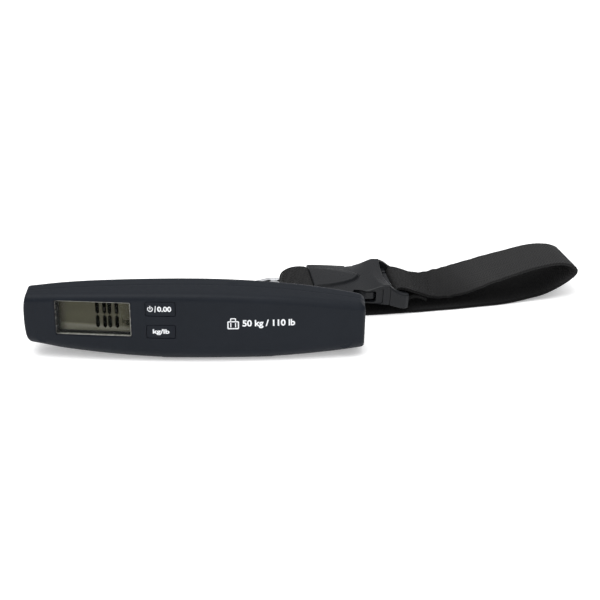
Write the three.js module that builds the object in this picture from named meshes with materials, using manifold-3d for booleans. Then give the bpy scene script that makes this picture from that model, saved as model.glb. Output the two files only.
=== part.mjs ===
// Digital luggage scale: a hand-held weighing case that stands on its lower
// flank, with a webbing strap and side-release buckle lying behind it.
// Units are millimetres. +Z is up, +X runs along the case, the display faces -Y.
import * as THREE from 'three';
import { mergeVertices } from 'three/addons/utils/BufferGeometryUtils.js';
import Module from 'manifold-3d';

const wasm = await Module();
wasm.setup();

// ---------------------------------------------------------------- dimensions
const DEG = Math.PI / 180;
const GAP = 0.3;                 // clearance between touching pieces
const ORIGIN_Y = 11.5;           // the frame's origin lies this far behind the front of the bow

const CASE_LEFT = -78.2;         // tip of the convex left end
const CASE_RIGHT = 78.0;         // right end
const BOW = 5.0;                 // how far the front face falls back at the ends
const BACK_Y = 22.3;             // rear face
const WALL = 2.0;                // moulded wall
const PARTING_Y = 12.0;          // where the two shells meet
const TOP_Z = 33.8;              // highest point of the case
const R_FRONT_TOP = 3.0, R_FRONT_LOW = 6.0, R_BACK = 5.0;

const WINDOW = { x0: -63.7, x1: -28.6, z0: 12.4, z1: 29.8 };   // display opening
const WINDOW_TURN = -4.4 * DEG;  // the front face is bowed, so the glass leans with it
const ZERO_KEY = { x0: -21.9, x1: -8.4, z0: 23.4, z1: 30.4 };
const UNIT_KEY = { x0: -21.7, x1: -8.6, z0: 12.2, z1: 18.7 };
const KEY_TRAVEL = 0.5;

const CELL_R = 10.0, CELL_H = 3.2;                 // CR2032
const CELL_X = -48.0, CELL_Z = 17.9, CELL_Y = 13.9;
const DOOR = { x0: -61.0, x1: -35.0, z0: 7.0, z1: 28.8, t: 1.7 };

const LUG_Z = 11.5;              // height of the load lug
const EYE = [0, 32.0];           // pivot of the swing link behind the case
const PIN_R = 1.7, PIN_HOLE_R = 1.78;
const LINK_ROD = 3.4;            // steel rod of the swing link
const LINK_HALF = 4.3;           // half the distance between its two arms
const CROSS = [22.6, 49.0];      // crossbar of the swing link

const WEB_W = 25.0, WEB_T = 1.4; // webbing
const BUCKLE = { x: 76.0, y: 62.0, z: 10.8, yaw: 8 * DEG, pitch: 3 * DEG };
const RING_ROD = 4.0;            // D-ring rod
const RING_BAR_A = -33.3, RING_BAR_Z = 8.2, RING_SLOPE = 9 * DEG;
const RING_HALF = 15.0, RING_LEG = 12.0;

// ------------------------------------------------------------------- helpers
function solid(geom) {
  let g = geom.clone();
  for (const n of ['normal', 'uv']) if (g.getAttribute(n)) g.deleteAttribute(n);
  g = mergeVertices(g, 1e-4);
  return new wasm.Manifold(new wasm.Mesh({
    numProp: 3,
    vertProperties: new Float32Array(g.getAttribute('position').array),
    triVerts: new Uint32Array(g.index.array),
  }));
}
function geometry(man) {
  const m = man.getMesh();
  const g = new THREE.BufferGeometry();
  g.setAttribute('position', new THREE.BufferAttribute(new Float32Array(m.vertProperties), 3));
  g.setIndex(new THREE.BufferAttribute(new Uint32Array(m.triVerts), 1));
  g.computeVertexNormals();
  return g;
}
function box(x0, x1, y0, y1, z0, z1) {
  return new THREE.BoxGeometry(x1 - x0, y1 - y0, z1 - z0)
    .translate((x0 + x1) / 2, (y0 + y1) / 2, (z0 + z1) / 2);
}
const sbox = (...a) => solid(box(...a));
function cylY(r, x, z, y0, y1, n = 24) {
  return new THREE.CylinderGeometry(r, r, y1 - y0, n).translate(x, (y0 + y1) / 2, z);
}
function cylZ(r, x, y, z0, z1, n = 24) {
  return new THREE.CylinderGeometry(r, r, z1 - z0, n).rotateX(Math.PI / 2).translate(x, y, (z0 + z1) / 2);
}
function cylYr(r, x, z, y0, y1, n = 20) { return solid(cylY(r, x, z, y0, y1, n)); }
// closed loft through rings of equal length; the ends are fanned shut
function loft(rings) {
  const n = rings[0].length, pos = [], idx = [];
  for (const r of rings) for (const p of r) pos.push(...p);
  for (let i = 0; i + 1 < rings.length; i++) for (let j = 0; j < n; j++) {
    const a = i * n + j, b = i * n + (j + 1) % n, c = a + n, d = b + n;
    idx.push(a, b, d, a, d, c);
  }
  for (const [k, flip] of [[0, true], [rings.length - 1, false]]) {
    const c = [0, 0, 0];
    for (const p of rings[k]) for (let t = 0; t < 3; t++) c[t] += p[t] / n;
    const ci = pos.length / 3;
    pos.push(...c);
    for (let j = 0; j < n; j++) {
      const a = k * n + j, b = k * n + (j + 1) % n;
      if (flip) idx.push(ci, b, a); else idx.push(ci, a, b);
    }
  }
  let vol = 0;
  for (let t = 0; t < idx.length; t += 3) {
    const [A, B, C] = [idx[t], idx[t + 1], idx[t + 2]].map((i) => new THREE.Vector3(pos[3 * i], pos[3 * i + 1], pos[3 * i + 2]));
    vol += A.dot(B.cross(C));
  }
  if (vol < 0) for (let t = 0; t < idx.length; t += 3) [idx[t + 1], idx[t + 2]] = [idx[t + 2], idx[t + 1]];
  const g = new THREE.BufferGeometry();
  g.setAttribute('position', new THREE.BufferAttribute(new Float32Array(pos), 3));
  g.setIndex(idx);
  g.computeVertexNormals();
  return g;
}
// outline in (x, z) pushed along y
function slabXZ(pts, y0, y1) {
  const s = new THREE.Shape(pts.map((p) => new THREE.Vector2(p[0], p[1])));
  return new THREE.ExtrudeGeometry(s, { depth: y1 - y0, bevelEnabled: false, curveSegments: 8 })
    .rotateX(Math.PI / 2).translate(0, y1, 0);
}
// outline in (x, y) pushed along z
function slabXY(pts, z0, z1) {
  const s = new THREE.Shape(pts.map((p) => new THREE.Vector2(p[0], p[1])));
  return new THREE.ExtrudeGeometry(s, { depth: z1 - z0, bevelEnabled: false, curveSegments: 8 })
    .translate(0, 0, z0);
}
function arc(cx, cy, r, a0, a1, n) {
  const out = [];
  for (let i = 0; i <= n; i++) {
    const a = (a0 + (a1 - a0) * i / n) * DEG;
    out.push([cx + r * Math.cos(a), cy + r * Math.sin(a)]);
  }
  return out;
}

// ---------------------------------------------------------------- case shape
function topZ(x) { return x < -5 ? TOP_Z - 6.66e-4 * (x + 5) ** 2 : TOP_Z - 1.073e-3 * (x + 5) ** 2; }
function lowZ(x) {
  const v = x < 8 ? 7.93e-4 * (x - 8) ** 2 : x > 12 ? 7.7e-4 * (x - 12) ** 2 : 0;
  return Math.max(0, v - 0.2);
}
function frontY(x) { return BOW * (x / 77.5) ** 2; }
function backY(x) { const a = Math.max(0, Math.abs(x) - 45) / 32.5; return BACK_Y - 1.8 * a * a; }
function section(x, inset) {
  const y0 = frontY(x) + inset, y1 = backY(x) - inset, z0 = lowZ(x) + inset, z1 = topZ(x) - inset;
  const rf = Math.max(1, R_FRONT_TOP - inset), rl = Math.max(1, R_FRONT_LOW - inset), rb = Math.max(1, R_BACK - inset);
  const ring = [
    ...arc(y0 + rl, z0 + rl, rl, 180, 270, 6),
    ...arc(y1 - rb, z0 + rb, rb, 270, 360, 5),
    ...arc(y1 - rb, z1 - rb, rb, 0, 90, 5),
    ...arc(y0 + rf, z1 - rf, rf, 90, 180, 6),
  ];
  return ring.map(([y, z]) => [x, y, z]);
}
const STATIONS = [-79, -72, -64, -56, -48, -40, -32, -24, -16, -7.9, 0, 8, 12, 28.1, 36, 44, 52, 60, 66, 72, 79];
function endOutline(inset) {
  const xl = CASE_LEFT + inset, xr = CASE_RIGHT - inset;
  const rc = 2.2 - Math.min(inset, 1.2), rbig = 3.4 - Math.min(inset, 1.8);
  const zt = topZ(-75) - inset, zb = lowZ(-75) + inset;
  const left = [...arc(xl + 1.7 + rc, zb + rc, rc, 268, 190, 4), [xl + 0.45, 12.5], [xl, 20.3], [xl + 0.35, 28],
    ...arc(xl + 1.6 + rc, zt - rc, rc, 170, 92, 4)];
  const rt = topZ(72) - inset, rz = lowZ(75) + inset;
  const right = [...arc(xr - rbig, rt - rbig, rbig, 88, 2, 6), [xr - 0.1, 15],
    ...arc(xr - 0.4 - 2.2, rz + 2.2, 2.2, -5, -88, 4)];
  return [[-60, -12], ...left.length ? [[left[0][0], -12]] : [], ...left, [left[left.length - 1][0], 50],
    [right[0][0], 50], ...right, [right[right.length - 1][0], -12]];
}
function caseBody(inset) {
  const body = solid(loft(STATIONS.map((x) => section(x, inset))));
  const ends = solid(slabXZ(endOutline(inset), -2, 26));
  const xl = CASE_LEFT - 0.5 + inset, xr = CASE_RIGHT + 0.5 - inset;
  const f = frontY(77) + inset, b = backY(77) - inset;
  const plan = [[0, -6], [-70, -6], ...arc(xl + 3.2, f + 2.6, 3.2, 250, 185, 4), ...arc(xl + 3.2, b - 2.4, 3.2, 175, 110, 4), [-70, 30], [0, 30],
    [70, 30], ...arc(xr - 2.8, b - 2.2, 2.8, 70, 5, 4), ...arc(xr - 2.8, f + 2.2, 2.8, -5, -70, 4), [70, -6]];
  return body.intersect(ends).intersect(solid(slabXY(plan, -5, 45)));
}
const outer = caseBody(0);
const inner = caseBody(WALL);
const hollow = outer.subtract(inner);

// --------------------------------------------------- display placed in a group
const displayX = (WINDOW.x0 + WINDOW.x1) / 2, displayZ = (WINDOW.z0 + WINDOW.z1) / 2;
const displayY = (frontY(WINDOW.x0) + frontY(WINDOW.x1)) / 2;
const winW = (WINDOW.x1 - WINDOW.x0), winH = WINDOW.z1 - WINDOW.z0;
function inDisplay(g) { return solid(g.clone().rotateZ(WINDOW_TURN).translate(displayX, displayY, displayZ)); }
const centredBox = (w, h, y0, y1) => box(-w / 2, w / 2, y0, y1, -h / 2, h / 2);

// ------------------------------------------------------------------ the shells
const bossAt = [[-69.5, 11.5], [-69.5, 25.0], [68.5, 8.6], [68.5, 21.8]];
let front = hollow.intersect(sbox(-90, 90, -5, PARTING_Y - GAP / 2, -5, 50));
for (const [x, z] of bossAt) {
  front = front.add(solid(cylY(3.1, x, z, frontY(x) + 1.0, PARTING_Y - GAP / 2, 16)).intersect(outer));
  front = front.subtract(cylYr(1.25, x, z, frontY(x) + 3.0, PARTING_Y + 1, 14));
}
front = front.subtract(inDisplay(centredBox(winW, winH, -4, 6)))
  .subtract(inDisplay(box(-winW / 2 - 1.7, winW / 2 + 1.7, 1.35, 6, -winH / 2 - 1.6, 9.2)));
const keyHole = (k) => sbox(k.x0 - 0.25, k.x1 + 0.25, -3, 6, k.z0 - 0.25, k.z1 + 0.25);
front = front.subtract(keyHole(ZERO_KEY)).subtract(keyHole(UNIT_KEY));

let rear = hollow.intersect(sbox(-90, 90, PARTING_Y + GAP / 2, 30, -5, 50));
for (const [x, z] of bossAt) {
  rear = rear.add(solid(cylY(4.0, x, z, PARTING_Y + GAP / 2, backY(x) - 0.6, 16)).intersect(outer));
  rear = rear.subtract(cylYr(1.5, x, z, 10, 26, 14)).subtract(cylYr(2.9, x, z, 17.4, 26, 16));
}
// battery pocket, its mouth and the ledge the door sits on
rear = rear.add(sbox(-62.6, -33.4, 12.15, 21.0, 5.4, 30.6).intersect(outer));
rear = rear.subtract(sbox(-59.2, -36.8, 13.2, 26, 7.4, 28.4));
rear = rear.subtract(sbox(DOOR.x0 - 0.4, DOOR.x1 + 0.4, BACK_Y - DOOR.t - 0.35, 26, DOOR.z0 - 0.4, DOOR.z1 + 0.4));
// mounting pad for the load cell and the slot its lug comes out of
rear = rear.add(sbox(29.5, 41.5, 16.9, 21.0, 6.3, 16.7));
rear = rear.subtract(sbox(-5.8, 5.8, 16, 26, LUG_Z - 2.7, LUG_Z + 2.7));
for (const x of [32.5, 38.5]) rear = rear.subtract(cylYr(1.25, x, LUG_Z, 14, 20.4, 12));

// ----------------------------------------------------------------- the pieces
const part = new THREE.Group();
part.name = 'digital_luggage_scale';
const root = new THREE.Group();
root.position.set(0, -ORIGIN_Y, 0);          // the origin is on the middle of the lower flank
part.add(root);
function mat(color, roughness, metalness = 0, extra = {}) {
  return new THREE.MeshStandardMaterial({ color, roughness, metalness, ...extra });
}
function put(parent, name, geom, material, pos) {
  const m = new THREE.Mesh(geom, material);
  m.name = name;
  if (pos) m.position.set(...pos);
  parent.add(m);
  return m;
}
const CASE_COL = 0x2b2e32, STEEL = 0xb9bcc0, BLACK = 0x17181a;

put(root, 'front_shell', geometry(front), mat(CASE_COL, 0.55));
put(root, 'rear_shell', geometry(rear), mat(CASE_COL, 0.55));

const display = new THREE.Group();
display.position.set(displayX, displayY, displayZ);
display.rotation.z = WINDOW_TURN;
root.add(display);
// clear window: a raised plate in the opening with a wider flange behind it
put(display, 'display_lens', geometry(
  solid(centredBox(winW - 2 * GAP, winH - 2 * GAP, 0.75, 2.4)).add(solid(box(-winW / 2 - 1.3, winW / 2 + 1.3, 1.65, 2.4, -winH / 2 - 1.2, 8.9)))),
mat(0xcfd3cf, 0.05, 0, { transparent: true, opacity: 0.35 }));
put(display, 'display_bezel', geometry(
  solid(box(-18.7, 18.7, 2.7, 3.4, -9.9, 8.9)).subtract(solid(centredBox(32.6, 14.8, 2, 4)))), mat(0x0f1012, 0.6));
put(display, 'lcd_panel', box(-18.3, 18.3, 3.7, 5.4, -9.3, 8.9), mat(0x8d8f78, 0.3));
// wedge of conductive rubber between the back of the glass and the board
put(root, 'elastomer_strip', slabXY([[-59.7, 8.75], [-31.8, 6.6], [-31.8, 9.75], [-59.7, 9.75]], 27.2, 29.4), mat(0x3a3a3a, 0.9));

// keys: a flush cap, a retaining flange behind the wall and a stem over the switch
function keyCap(k) {
  const cx = (k.x0 + k.x1) / 2, cz = (k.z0 + k.z1) / 2, yf = frontY(cx) + 0.05;
  const w = k.x1 - k.x0, h = k.z1 - k.z0;
  const g = sbox(-w / 2, w / 2, 0, 2.9, -h / 2, h / 2)
    .add(sbox(-w / 2 - 1.0, w / 2 + 1.0, 2.7, 3.4, -h / 2 + 0.3, h / 2 - 0.3))
    .add(solid(cylY(1.4, 0, 0, 3.2, 5.05, 14)));
  return [geometry(g), [cx, yf, cz]];
}
const [zg, zp] = keyCap(ZERO_KEY);
put(root, 'zero_button', zg, mat(0x2a2d30, 0.6), zp);
const [ug, up] = keyCap(UNIT_KEY);
put(root, 'unit_button', ug, mat(0x2a2d30, 0.6), up);
function tactSwitch() {
  return geometry(sbox(-3, 3, -3.4, 0, -3, 3).add(solid(cylY(1.6, 0, 0, -3.95, -3.2, 14))));
}
const PCB_Y = 10.0;
put(root, 'zero_switch', tactSwitch(), mat(0x3b3d40, 0.5), [zp[0], PCB_Y - 0.02 - 0.0, zp[2]]);
put(root, 'unit_switch', tactSwitch(), mat(0x3b3d40, 0.5), [up[0], PCB_Y - 0.02, up[2]]);
put(root, 'main_pcb', geometry(
  sbox(-65.5, -7.8, PCB_Y + 0.02, PCB_Y + 1.5, 7.6, 29.45).add(sbox(-40, -7.8, PCB_Y + 0.02, PCB_Y + 1.5, 29, 30.6))
    .subtract(sbox(-80, -60, 5, 12, 26, 40)).subtract(sbox(-80, -64.5, 5, 12, 0, 16))), mat(0x2f6b3c, 0.5));
put(root, 'controller_chip', box(-5, 5, -0.7, 0.7, -5, 5), mat(BLACK, 0.4), [-26.0, PCB_Y + 2.25, 20.0]);

// battery and its contacts
put(root, 'coin_cell', cylY(CELL_R, 0, 0, 0, CELL_H, 36), mat(STEEL, 0.25, 1), [CELL_X, CELL_Y, CELL_Z]);
put(root, 'battery_contact_minus', geometry(
  sbox(-4.5, 4.5, 0, 0.25, -2.2, 2.2)), mat(STEEL, 0.3, 1), [CELL_X, 13.4, CELL_Z]);
put(root, 'battery_contact_plus', geometry(
  sbox(0, 0.3, 0, 3.0, -3.5, 3.5)), mat(STEEL, 0.3, 1), [-59.0, 14.2, CELL_Z]);
put(root, 'battery_door', geometry(
  sbox(DOOR.x0, DOOR.x1, BACK_Y - DOOR.t, BACK_Y, DOOR.z0, DOOR.z1)
    .subtract(sbox(DOOR.x1 - 4.2, DOOR.x1 - 2.2, BACK_Y - 0.5, 26, 12, 24)).intersect(outer)), mat(CASE_COL, 0.55));

// load cell: a bar with a dog-bone cut-out, bolted to the rear shell at one end
const BEAM_Y = 9.6;
let beam = sbox(-7, 42, 0, 7, -6, 6);
beam = beam.subtract(solid(cylZ(2.4, 12, 3.5, -8, 8, 20))).subtract(solid(cylZ(2.4, 22, 3.5, -8, 8, 20)))
  .subtract(sbox(12, 22, 2.4, 4.6, -8, 8));
for (const x of [32.5, 38.5]) beam = beam.subtract(cylYr(1.5, x, 0, -1, 9, 14));
beam = beam.subtract(cylYr(1.25, 0, 0, 2.0, 9, 14));
put(root, 'load_cell_bar', geometry(beam), mat(0xc4c7ca, 0.35, 1), [0, BEAM_Y, LUG_Z]);
put(root, 'strain_gauge_front', box(-3.5, 3.5, 0, 0.25, -2.5, 2.5), mat(0xc98a2b, 0.5), [17, BEAM_Y - 0.56, LUG_Z]);
put(root, 'strain_gauge_rear', box(-3.5, 3.5, 0, 0.25, -2.5, 2.5), mat(0xc98a2b, 0.5), [17, BEAM_Y + 7.31, LUG_Z]);
function screw(headR, headH, r, len) {
  const p = [[0, 0], [headR, 0], [headR, headH * 0.7], [headR * 0.8, headH], [r, headH], [r, headH + len - 1], [r * 0.4, headH + len], [0, headH + len]];
  return new THREE.LatheGeometry(p.map(([a, b]) => new THREE.Vector2(a, b)), 14);
}
// heads face -Y on the load cell, threads run +Y into the shell
[32.5, 38.5].forEach((x, i) => put(root, `load_cell_screw_${i + 1}`, screw(2.6, 1.8, 1.15, 10.0), mat(STEEL, 0.3, 1), [x, BEAM_Y - 2.1, LUG_Z]));

// load lug: a foot screwed to the free end of the bar and a plate with an eye
let lug = sbox(-5, 5, 16.9, 18.9, -5.5, 5.5).add(sbox(-5, 5, 18.5, EYE[1], -2, 2)).add(solid(cylZ(5, EYE[0], EYE[1], -2, 2, 28)));
lug = lug.subtract(solid(cylZ(PIN_HOLE_R, EYE[0], EYE[1], -3, 3, 24)));
lug = lug.subtract(cylYr(1.5, 0, 0, 15, 19.6, 14)).subtract(cylYr(2.9, 0, 0, 18.9, 24.5, 16).intersect(sbox(-2.95, 2.95, 18.0, 22.2, -2.95, 2.95)));
put(root, 'load_lug', geometry(lug), mat(STEEL, 0.3, 1), [0, 0, LUG_Z]);
put(root, 'lug_screw', screw(2.5, 1.6, 1.15, 6.2).rotateX(Math.PI), mat(STEEL, 0.3, 1), [0, 20.8, LUG_Z]);

// case screws come in from the rear
bossAt.forEach(([x, z], i) => put(root, `case_screw_${i + 1}`, screw(2.5, 1.6, 1.1, 9.5).rotateX(Math.PI), mat(0x8d9094, 0.35, 1), [x, 17.1 + 1.9, z]));

// ------------------------------------------------------- swing link and D-ring
const link = new THREE.Group();
link.position.set(EYE[0], EYE[1], LUG_Z);
const linkAngle = Math.atan2(CROSS[1] - EYE[1], CROSS[0] - EYE[0]);
const linkLen = Math.hypot(CROSS[1] - EYE[1], CROSS[0] - EYE[0]);
link.rotation.z = linkAngle;
root.add(link);
function rod(path, d, seg = 10) {
  const shape = new THREE.Shape(arc(0, 0, d / 2, 0, 360 - 360 / seg, seg - 1).map((p) => new THREE.Vector2(...p)));
  return new THREE.ExtrudeGeometry(shape, { steps: path.steps, extrudePath: path.curve, bevelEnabled: false });
}
class Bent extends THREE.Curve {
  constructor(pts) { super(); this.pts = pts; this.len = [0]; for (let i = 1; i < pts.length; i++) this.len.push(this.len[i - 1] + pts[i].distanceTo(pts[i - 1])); }
  getPoint(t, out = new THREE.Vector3()) {
    const s = t * this.len[this.len.length - 1];
    let i = 1; while (i < this.pts.length - 1 && this.len[i] < s) i++;
    const k = (s - this.len[i - 1]) / (this.len[i] - this.len[i - 1]);
    return out.copy(this.pts[i - 1]).lerp(this.pts[i], k);
  }
}
{
  const R = 3.0, r = LINK_ROD / 2;
  // rectangular rod bow drawn as a swept ring of sections, bent in the plane y = 0
  const c = [];
  c.push([0, LINK_HALF, 90]);
  for (let i = 0; i <= 5; i++) { const a = 90 - 90 * i / 5; c.push([linkLen - R + R * Math.cos(a * DEG), LINK_HALF - R + R * Math.sin(a * DEG), a]); }
  for (let i = 0; i <= 5; i++) { const a = -90 * i / 5; c.push([linkLen - R + R * Math.cos(a * DEG), -LINK_HALF + R + R * Math.sin(a * DEG), a]); }
  c.push([0, -LINK_HALF, -90]);
  const rings = c.map(([x, z, a]) => {
    const nx = Math.cos(a * DEG), nz = Math.sin(a * DEG);
    return arc(0, 0, r, 0, 330, 11).map(([u, v]) => [x + nx * u, v, z + nz * u]);
  });
  let bow = solid(loft(rings));
  for (const s of [1, -1]) bow = bow.add(solid(cylZ(4.0, 0, 0, s * LINK_HALF - r, s * LINK_HALF + r, 24)));
  bow = bow.subtract(solid(cylZ(PIN_HOLE_R, 0, 0, -10, 10, 24)));
  put(link, 'swing_link', geometry(bow), mat(STEEL, 0.25, 1));
}
const pinHalf = LINK_HALF + LINK_ROD / 2;
const pinProfile = [[0, -pinHalf - 1.5], [2.6, -pinHalf - 1.5], [2.6, -pinHalf - 0.3], [PIN_R, -pinHalf - 0.3], [PIN_R, pinHalf + 0.3], [2.6, pinHalf + 0.3], [2.6, pinHalf + 1.5], [0, pinHalf + 1.5]];
put(root, 'link_pin', new THREE.LatheGeometry(pinProfile.map((p) => new THREE.Vector2(...p)), 24).rotateX(Math.PI / 2), mat(STEEL, 0.25, 1), [EYE[0], EYE[1], LUG_Z]);

const cy = Math.cos(BUCKLE.yaw), sy = Math.sin(BUCKLE.yaw);
const along = (a, q = 0) => [BUCKLE.x + a * cy - q * sy, BUCKLE.y + a * sy + q * cy];
const ring = new THREE.Group();
const rb = along(RING_BAR_A);
ring.position.set(rb[0], rb[1], RING_BAR_Z);
ring.rotation.set(0, RING_SLOPE, BUCKLE.yaw, 'ZYX');
root.add(ring);
{
  // closed D outline of the rod centre in the plane z = 0; bar along y at x = 0
  const c = [];
  const r = RING_ROD / 2;
  const add = (x, y, a) => c.push([x, y, a]);
  for (let i = 0; i <= 4; i++) add(0 - 2 + 2 * Math.cos((-90 + 90 * i / 4) * DEG), -RING_HALF + 2 + 2 * Math.sin((-90 + 90 * i / 4) * DEG), -90 + 90 * i / 4);
  for (let i = 0; i <= 4; i++) add(0 - 2 + 2 * Math.cos((90 * i / 4) * DEG), RING_HALF - 2 + 2 * Math.sin((90 * i / 4) * DEG), 90 * i / 4);
  for (let i = 0; i <= 14; i++) { const a = 90 + 180 * i / 14; add(-RING_LEG + RING_HALF * Math.cos(a * DEG), RING_HALF * Math.sin(a * DEG), a); }
  const n = 12, pos = [], idx = [];
  for (const [x, y, a] of c) for (let j = 0; j < n; j++) {
    const t = 2 * Math.PI * j / n, u = r * Math.cos(t), v = r * Math.sin(t);
    pos.push(x + Math.cos(a * DEG) * u, y + Math.sin(a * DEG) * u, v);
  }
  const m = c.length;
  for (let i = 0; i < m; i++) for (let j = 0; j < n; j++) {
    const A = i * n + j, B = i * n + (j + 1) % n, C = ((i + 1) % m) * n + j, D = ((i + 1) % m) * n + (j + 1) % n;
    idx.push(A, C, B, B, C, D);
  }
  const g = new THREE.BufferGeometry();
  g.setAttribute('position', new THREE.BufferAttribute(new Float32Array(pos), 3));
  g.setIndex(idx); g.computeVertexNormals();
  let man = solid(g);
  if (man.volume() < 0) {
    for (let t = 0; t < idx.length; t += 3) [idx[t + 1], idx[t + 2]] = [idx[t + 2], idx[t + 1]];
    g.setIndex(idx); man = solid(g);
  }
  put(ring, 'd_ring', geometry(man), mat(STEEL, 0.25, 1));
}

// ------------------------------------------------------------ webbing strap
// plan line: straight along the buckle, then turning slightly away
const YAW = [[0, 8], [100, 8], [110, 9.5], [140, 9.5], [152, 12], [186, 14.5], [200, 14.5]];
function interp(tab, x) {
  if (x <= tab[0][0]) return tab[0][1];
  for (let i = 1; i < tab.length; i++) if (x <= tab[i][0]) {
    const k = (x - tab[i - 1][0]) / (tab[i][0] - tab[i - 1][0]);
    return tab[i - 1][1] + k * (tab[i][1] - tab[i - 1][1]);
  }
  return tab[tab.length - 1][1];
}
function planY(x) {
  if (x <= 100) return BUCKLE.y + (x - BUCKLE.x) * Math.tan(8 * DEG);
  let y = BUCKLE.y + (100 - BUCKLE.x) * Math.tan(8 * DEG);
  const n = Math.ceil((x - 100) / 0.5), h = (x - 100) / n;
  for (let i = 0; i < n; i++) y += Math.tan(interp(YAW, 100 + (i + 0.5) * h) * DEG) * h;
  return y;
}
// smooth curve through (x, z) points, sampled evenly
function smooth(pts, n) {
  const c = new THREE.CatmullRomCurve3(pts.map(([x, z]) => new THREE.Vector3(x, 0, z)), false, 'centripetal');
  c.arcLengthDivisions = 400;
  return c.getSpacedPoints(n);
}
function ribbon(pts, n, roll) {
  const p = smooth(pts, n);
  const L = p.length;
  const rings = [];
  for (let i = 0; i < L; i++) {
    const a = p[Math.max(0, i - 1)], b = p[Math.min(L - 1, i + 1)];
    const th = interp(YAW, p[i].x) * DEG;
    const t = new THREE.Vector3((b.x - a.x), (b.x - a.x) * Math.tan(th), b.z - a.z).normalize();
    const w0 = new THREE.Vector3(-Math.sin(th), Math.cos(th), 0);
    const nrm = new THREE.Vector3().crossVectors(t, w0).normalize();
    const r = interp(roll, i / (L - 1)) * DEG;
    const w = w0.clone().multiplyScalar(Math.cos(r)).add(new THREE.Vector3(0, 0, 1).multiplyScalar(Math.sin(r)));
    w.addScaledVector(t, -w.dot(t)).normalize();
    const m = new THREE.Vector3().crossVectors(t, w).normalize();
    const c = new THREE.Vector3(p[i].x, planY(p[i].x), p[i].z);
    const hw = WEB_W / 2, ht = WEB_T / 2;
    rings.push([[-hw, -ht], [-hw, ht], [hw, ht], [hw, -ht]].map(([u, v]) => {
      const q = c.clone().addScaledVector(w, u).addScaledVector(m, v);
      return [q.x, q.y, q.z];
    }));
  }
  return loft(rings);
}
const A = (a) => BUCKLE.x + a * cy;     // plan distance from the buckle centre to x
const lowerPath = [
  [A(-25.6), 11.3], [A(-23.6), 9.4], [A(-21.4), 8.0], [A(-19.7), 8.5], [A(-18.9), 10.5], [A(-19.7), 12.5], [A(-21.5), 13.2], [A(-24.4), 13.8],
  [A(-27.6), 15.0], [A(-30.6), 15.6], [A(-33.4), 14.9], [A(-35.5), 12.5], [A(-36.3), 9.0], [A(-35.8), 5.2], [A(-33.8), 2.2], [A(-30.6), 0.95], [A(-26), 0.7],
  [60, 0.7], [80, 0.7], [100, 0.7], [120, 0.7], [138, 0.7], [146, 0.75], [151, 1.0], [158.5, 1.9], [166, 3.35], [173, 6.2], [179, 10.0], [181.6, 12.4],
];
const upperPath = [
  [182.1, 13.45], [181.0, 15.9], [176.8, 17.9], [171.2, 18.8], [163, 18.3], [152, 16.1], [140, 13.2], [129, 9.6], [119, 7.2], [110.5, 7.3],
  [A(31.5), 8.5], [A(28), 9.35], [A(24.2), 10.6], [A(21.4), 11.25], [A(19.7), 10.5], [A(18.95), 8.7], [A(19.7), 6.9], [A(21.4), 6.15], [A(24), 6.3], [A(27), 6.75], [A(31), 6.4], [A(35.2), 5.3],
];
const strap = new THREE.Group();
root.add(strap);
put(strap, 'strap_lower', ribbon(lowerPath, 92, [[0, 0], [1, 0]]), mat(0x34363a, 0.95));
put(strap, 'strap_upper', ribbon(upperPath, 72, [[0, 0], [0.12, 0], [0.3, 2.5], [0.45, 8], [0.52, 10.5], [0.6, 9.5], [0.68, 3], [0.73, 0], [0.86, 0], [0.91, 0], [0.94, 2], [1, 7]]), mat(0x34363a, 0.95));

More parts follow.
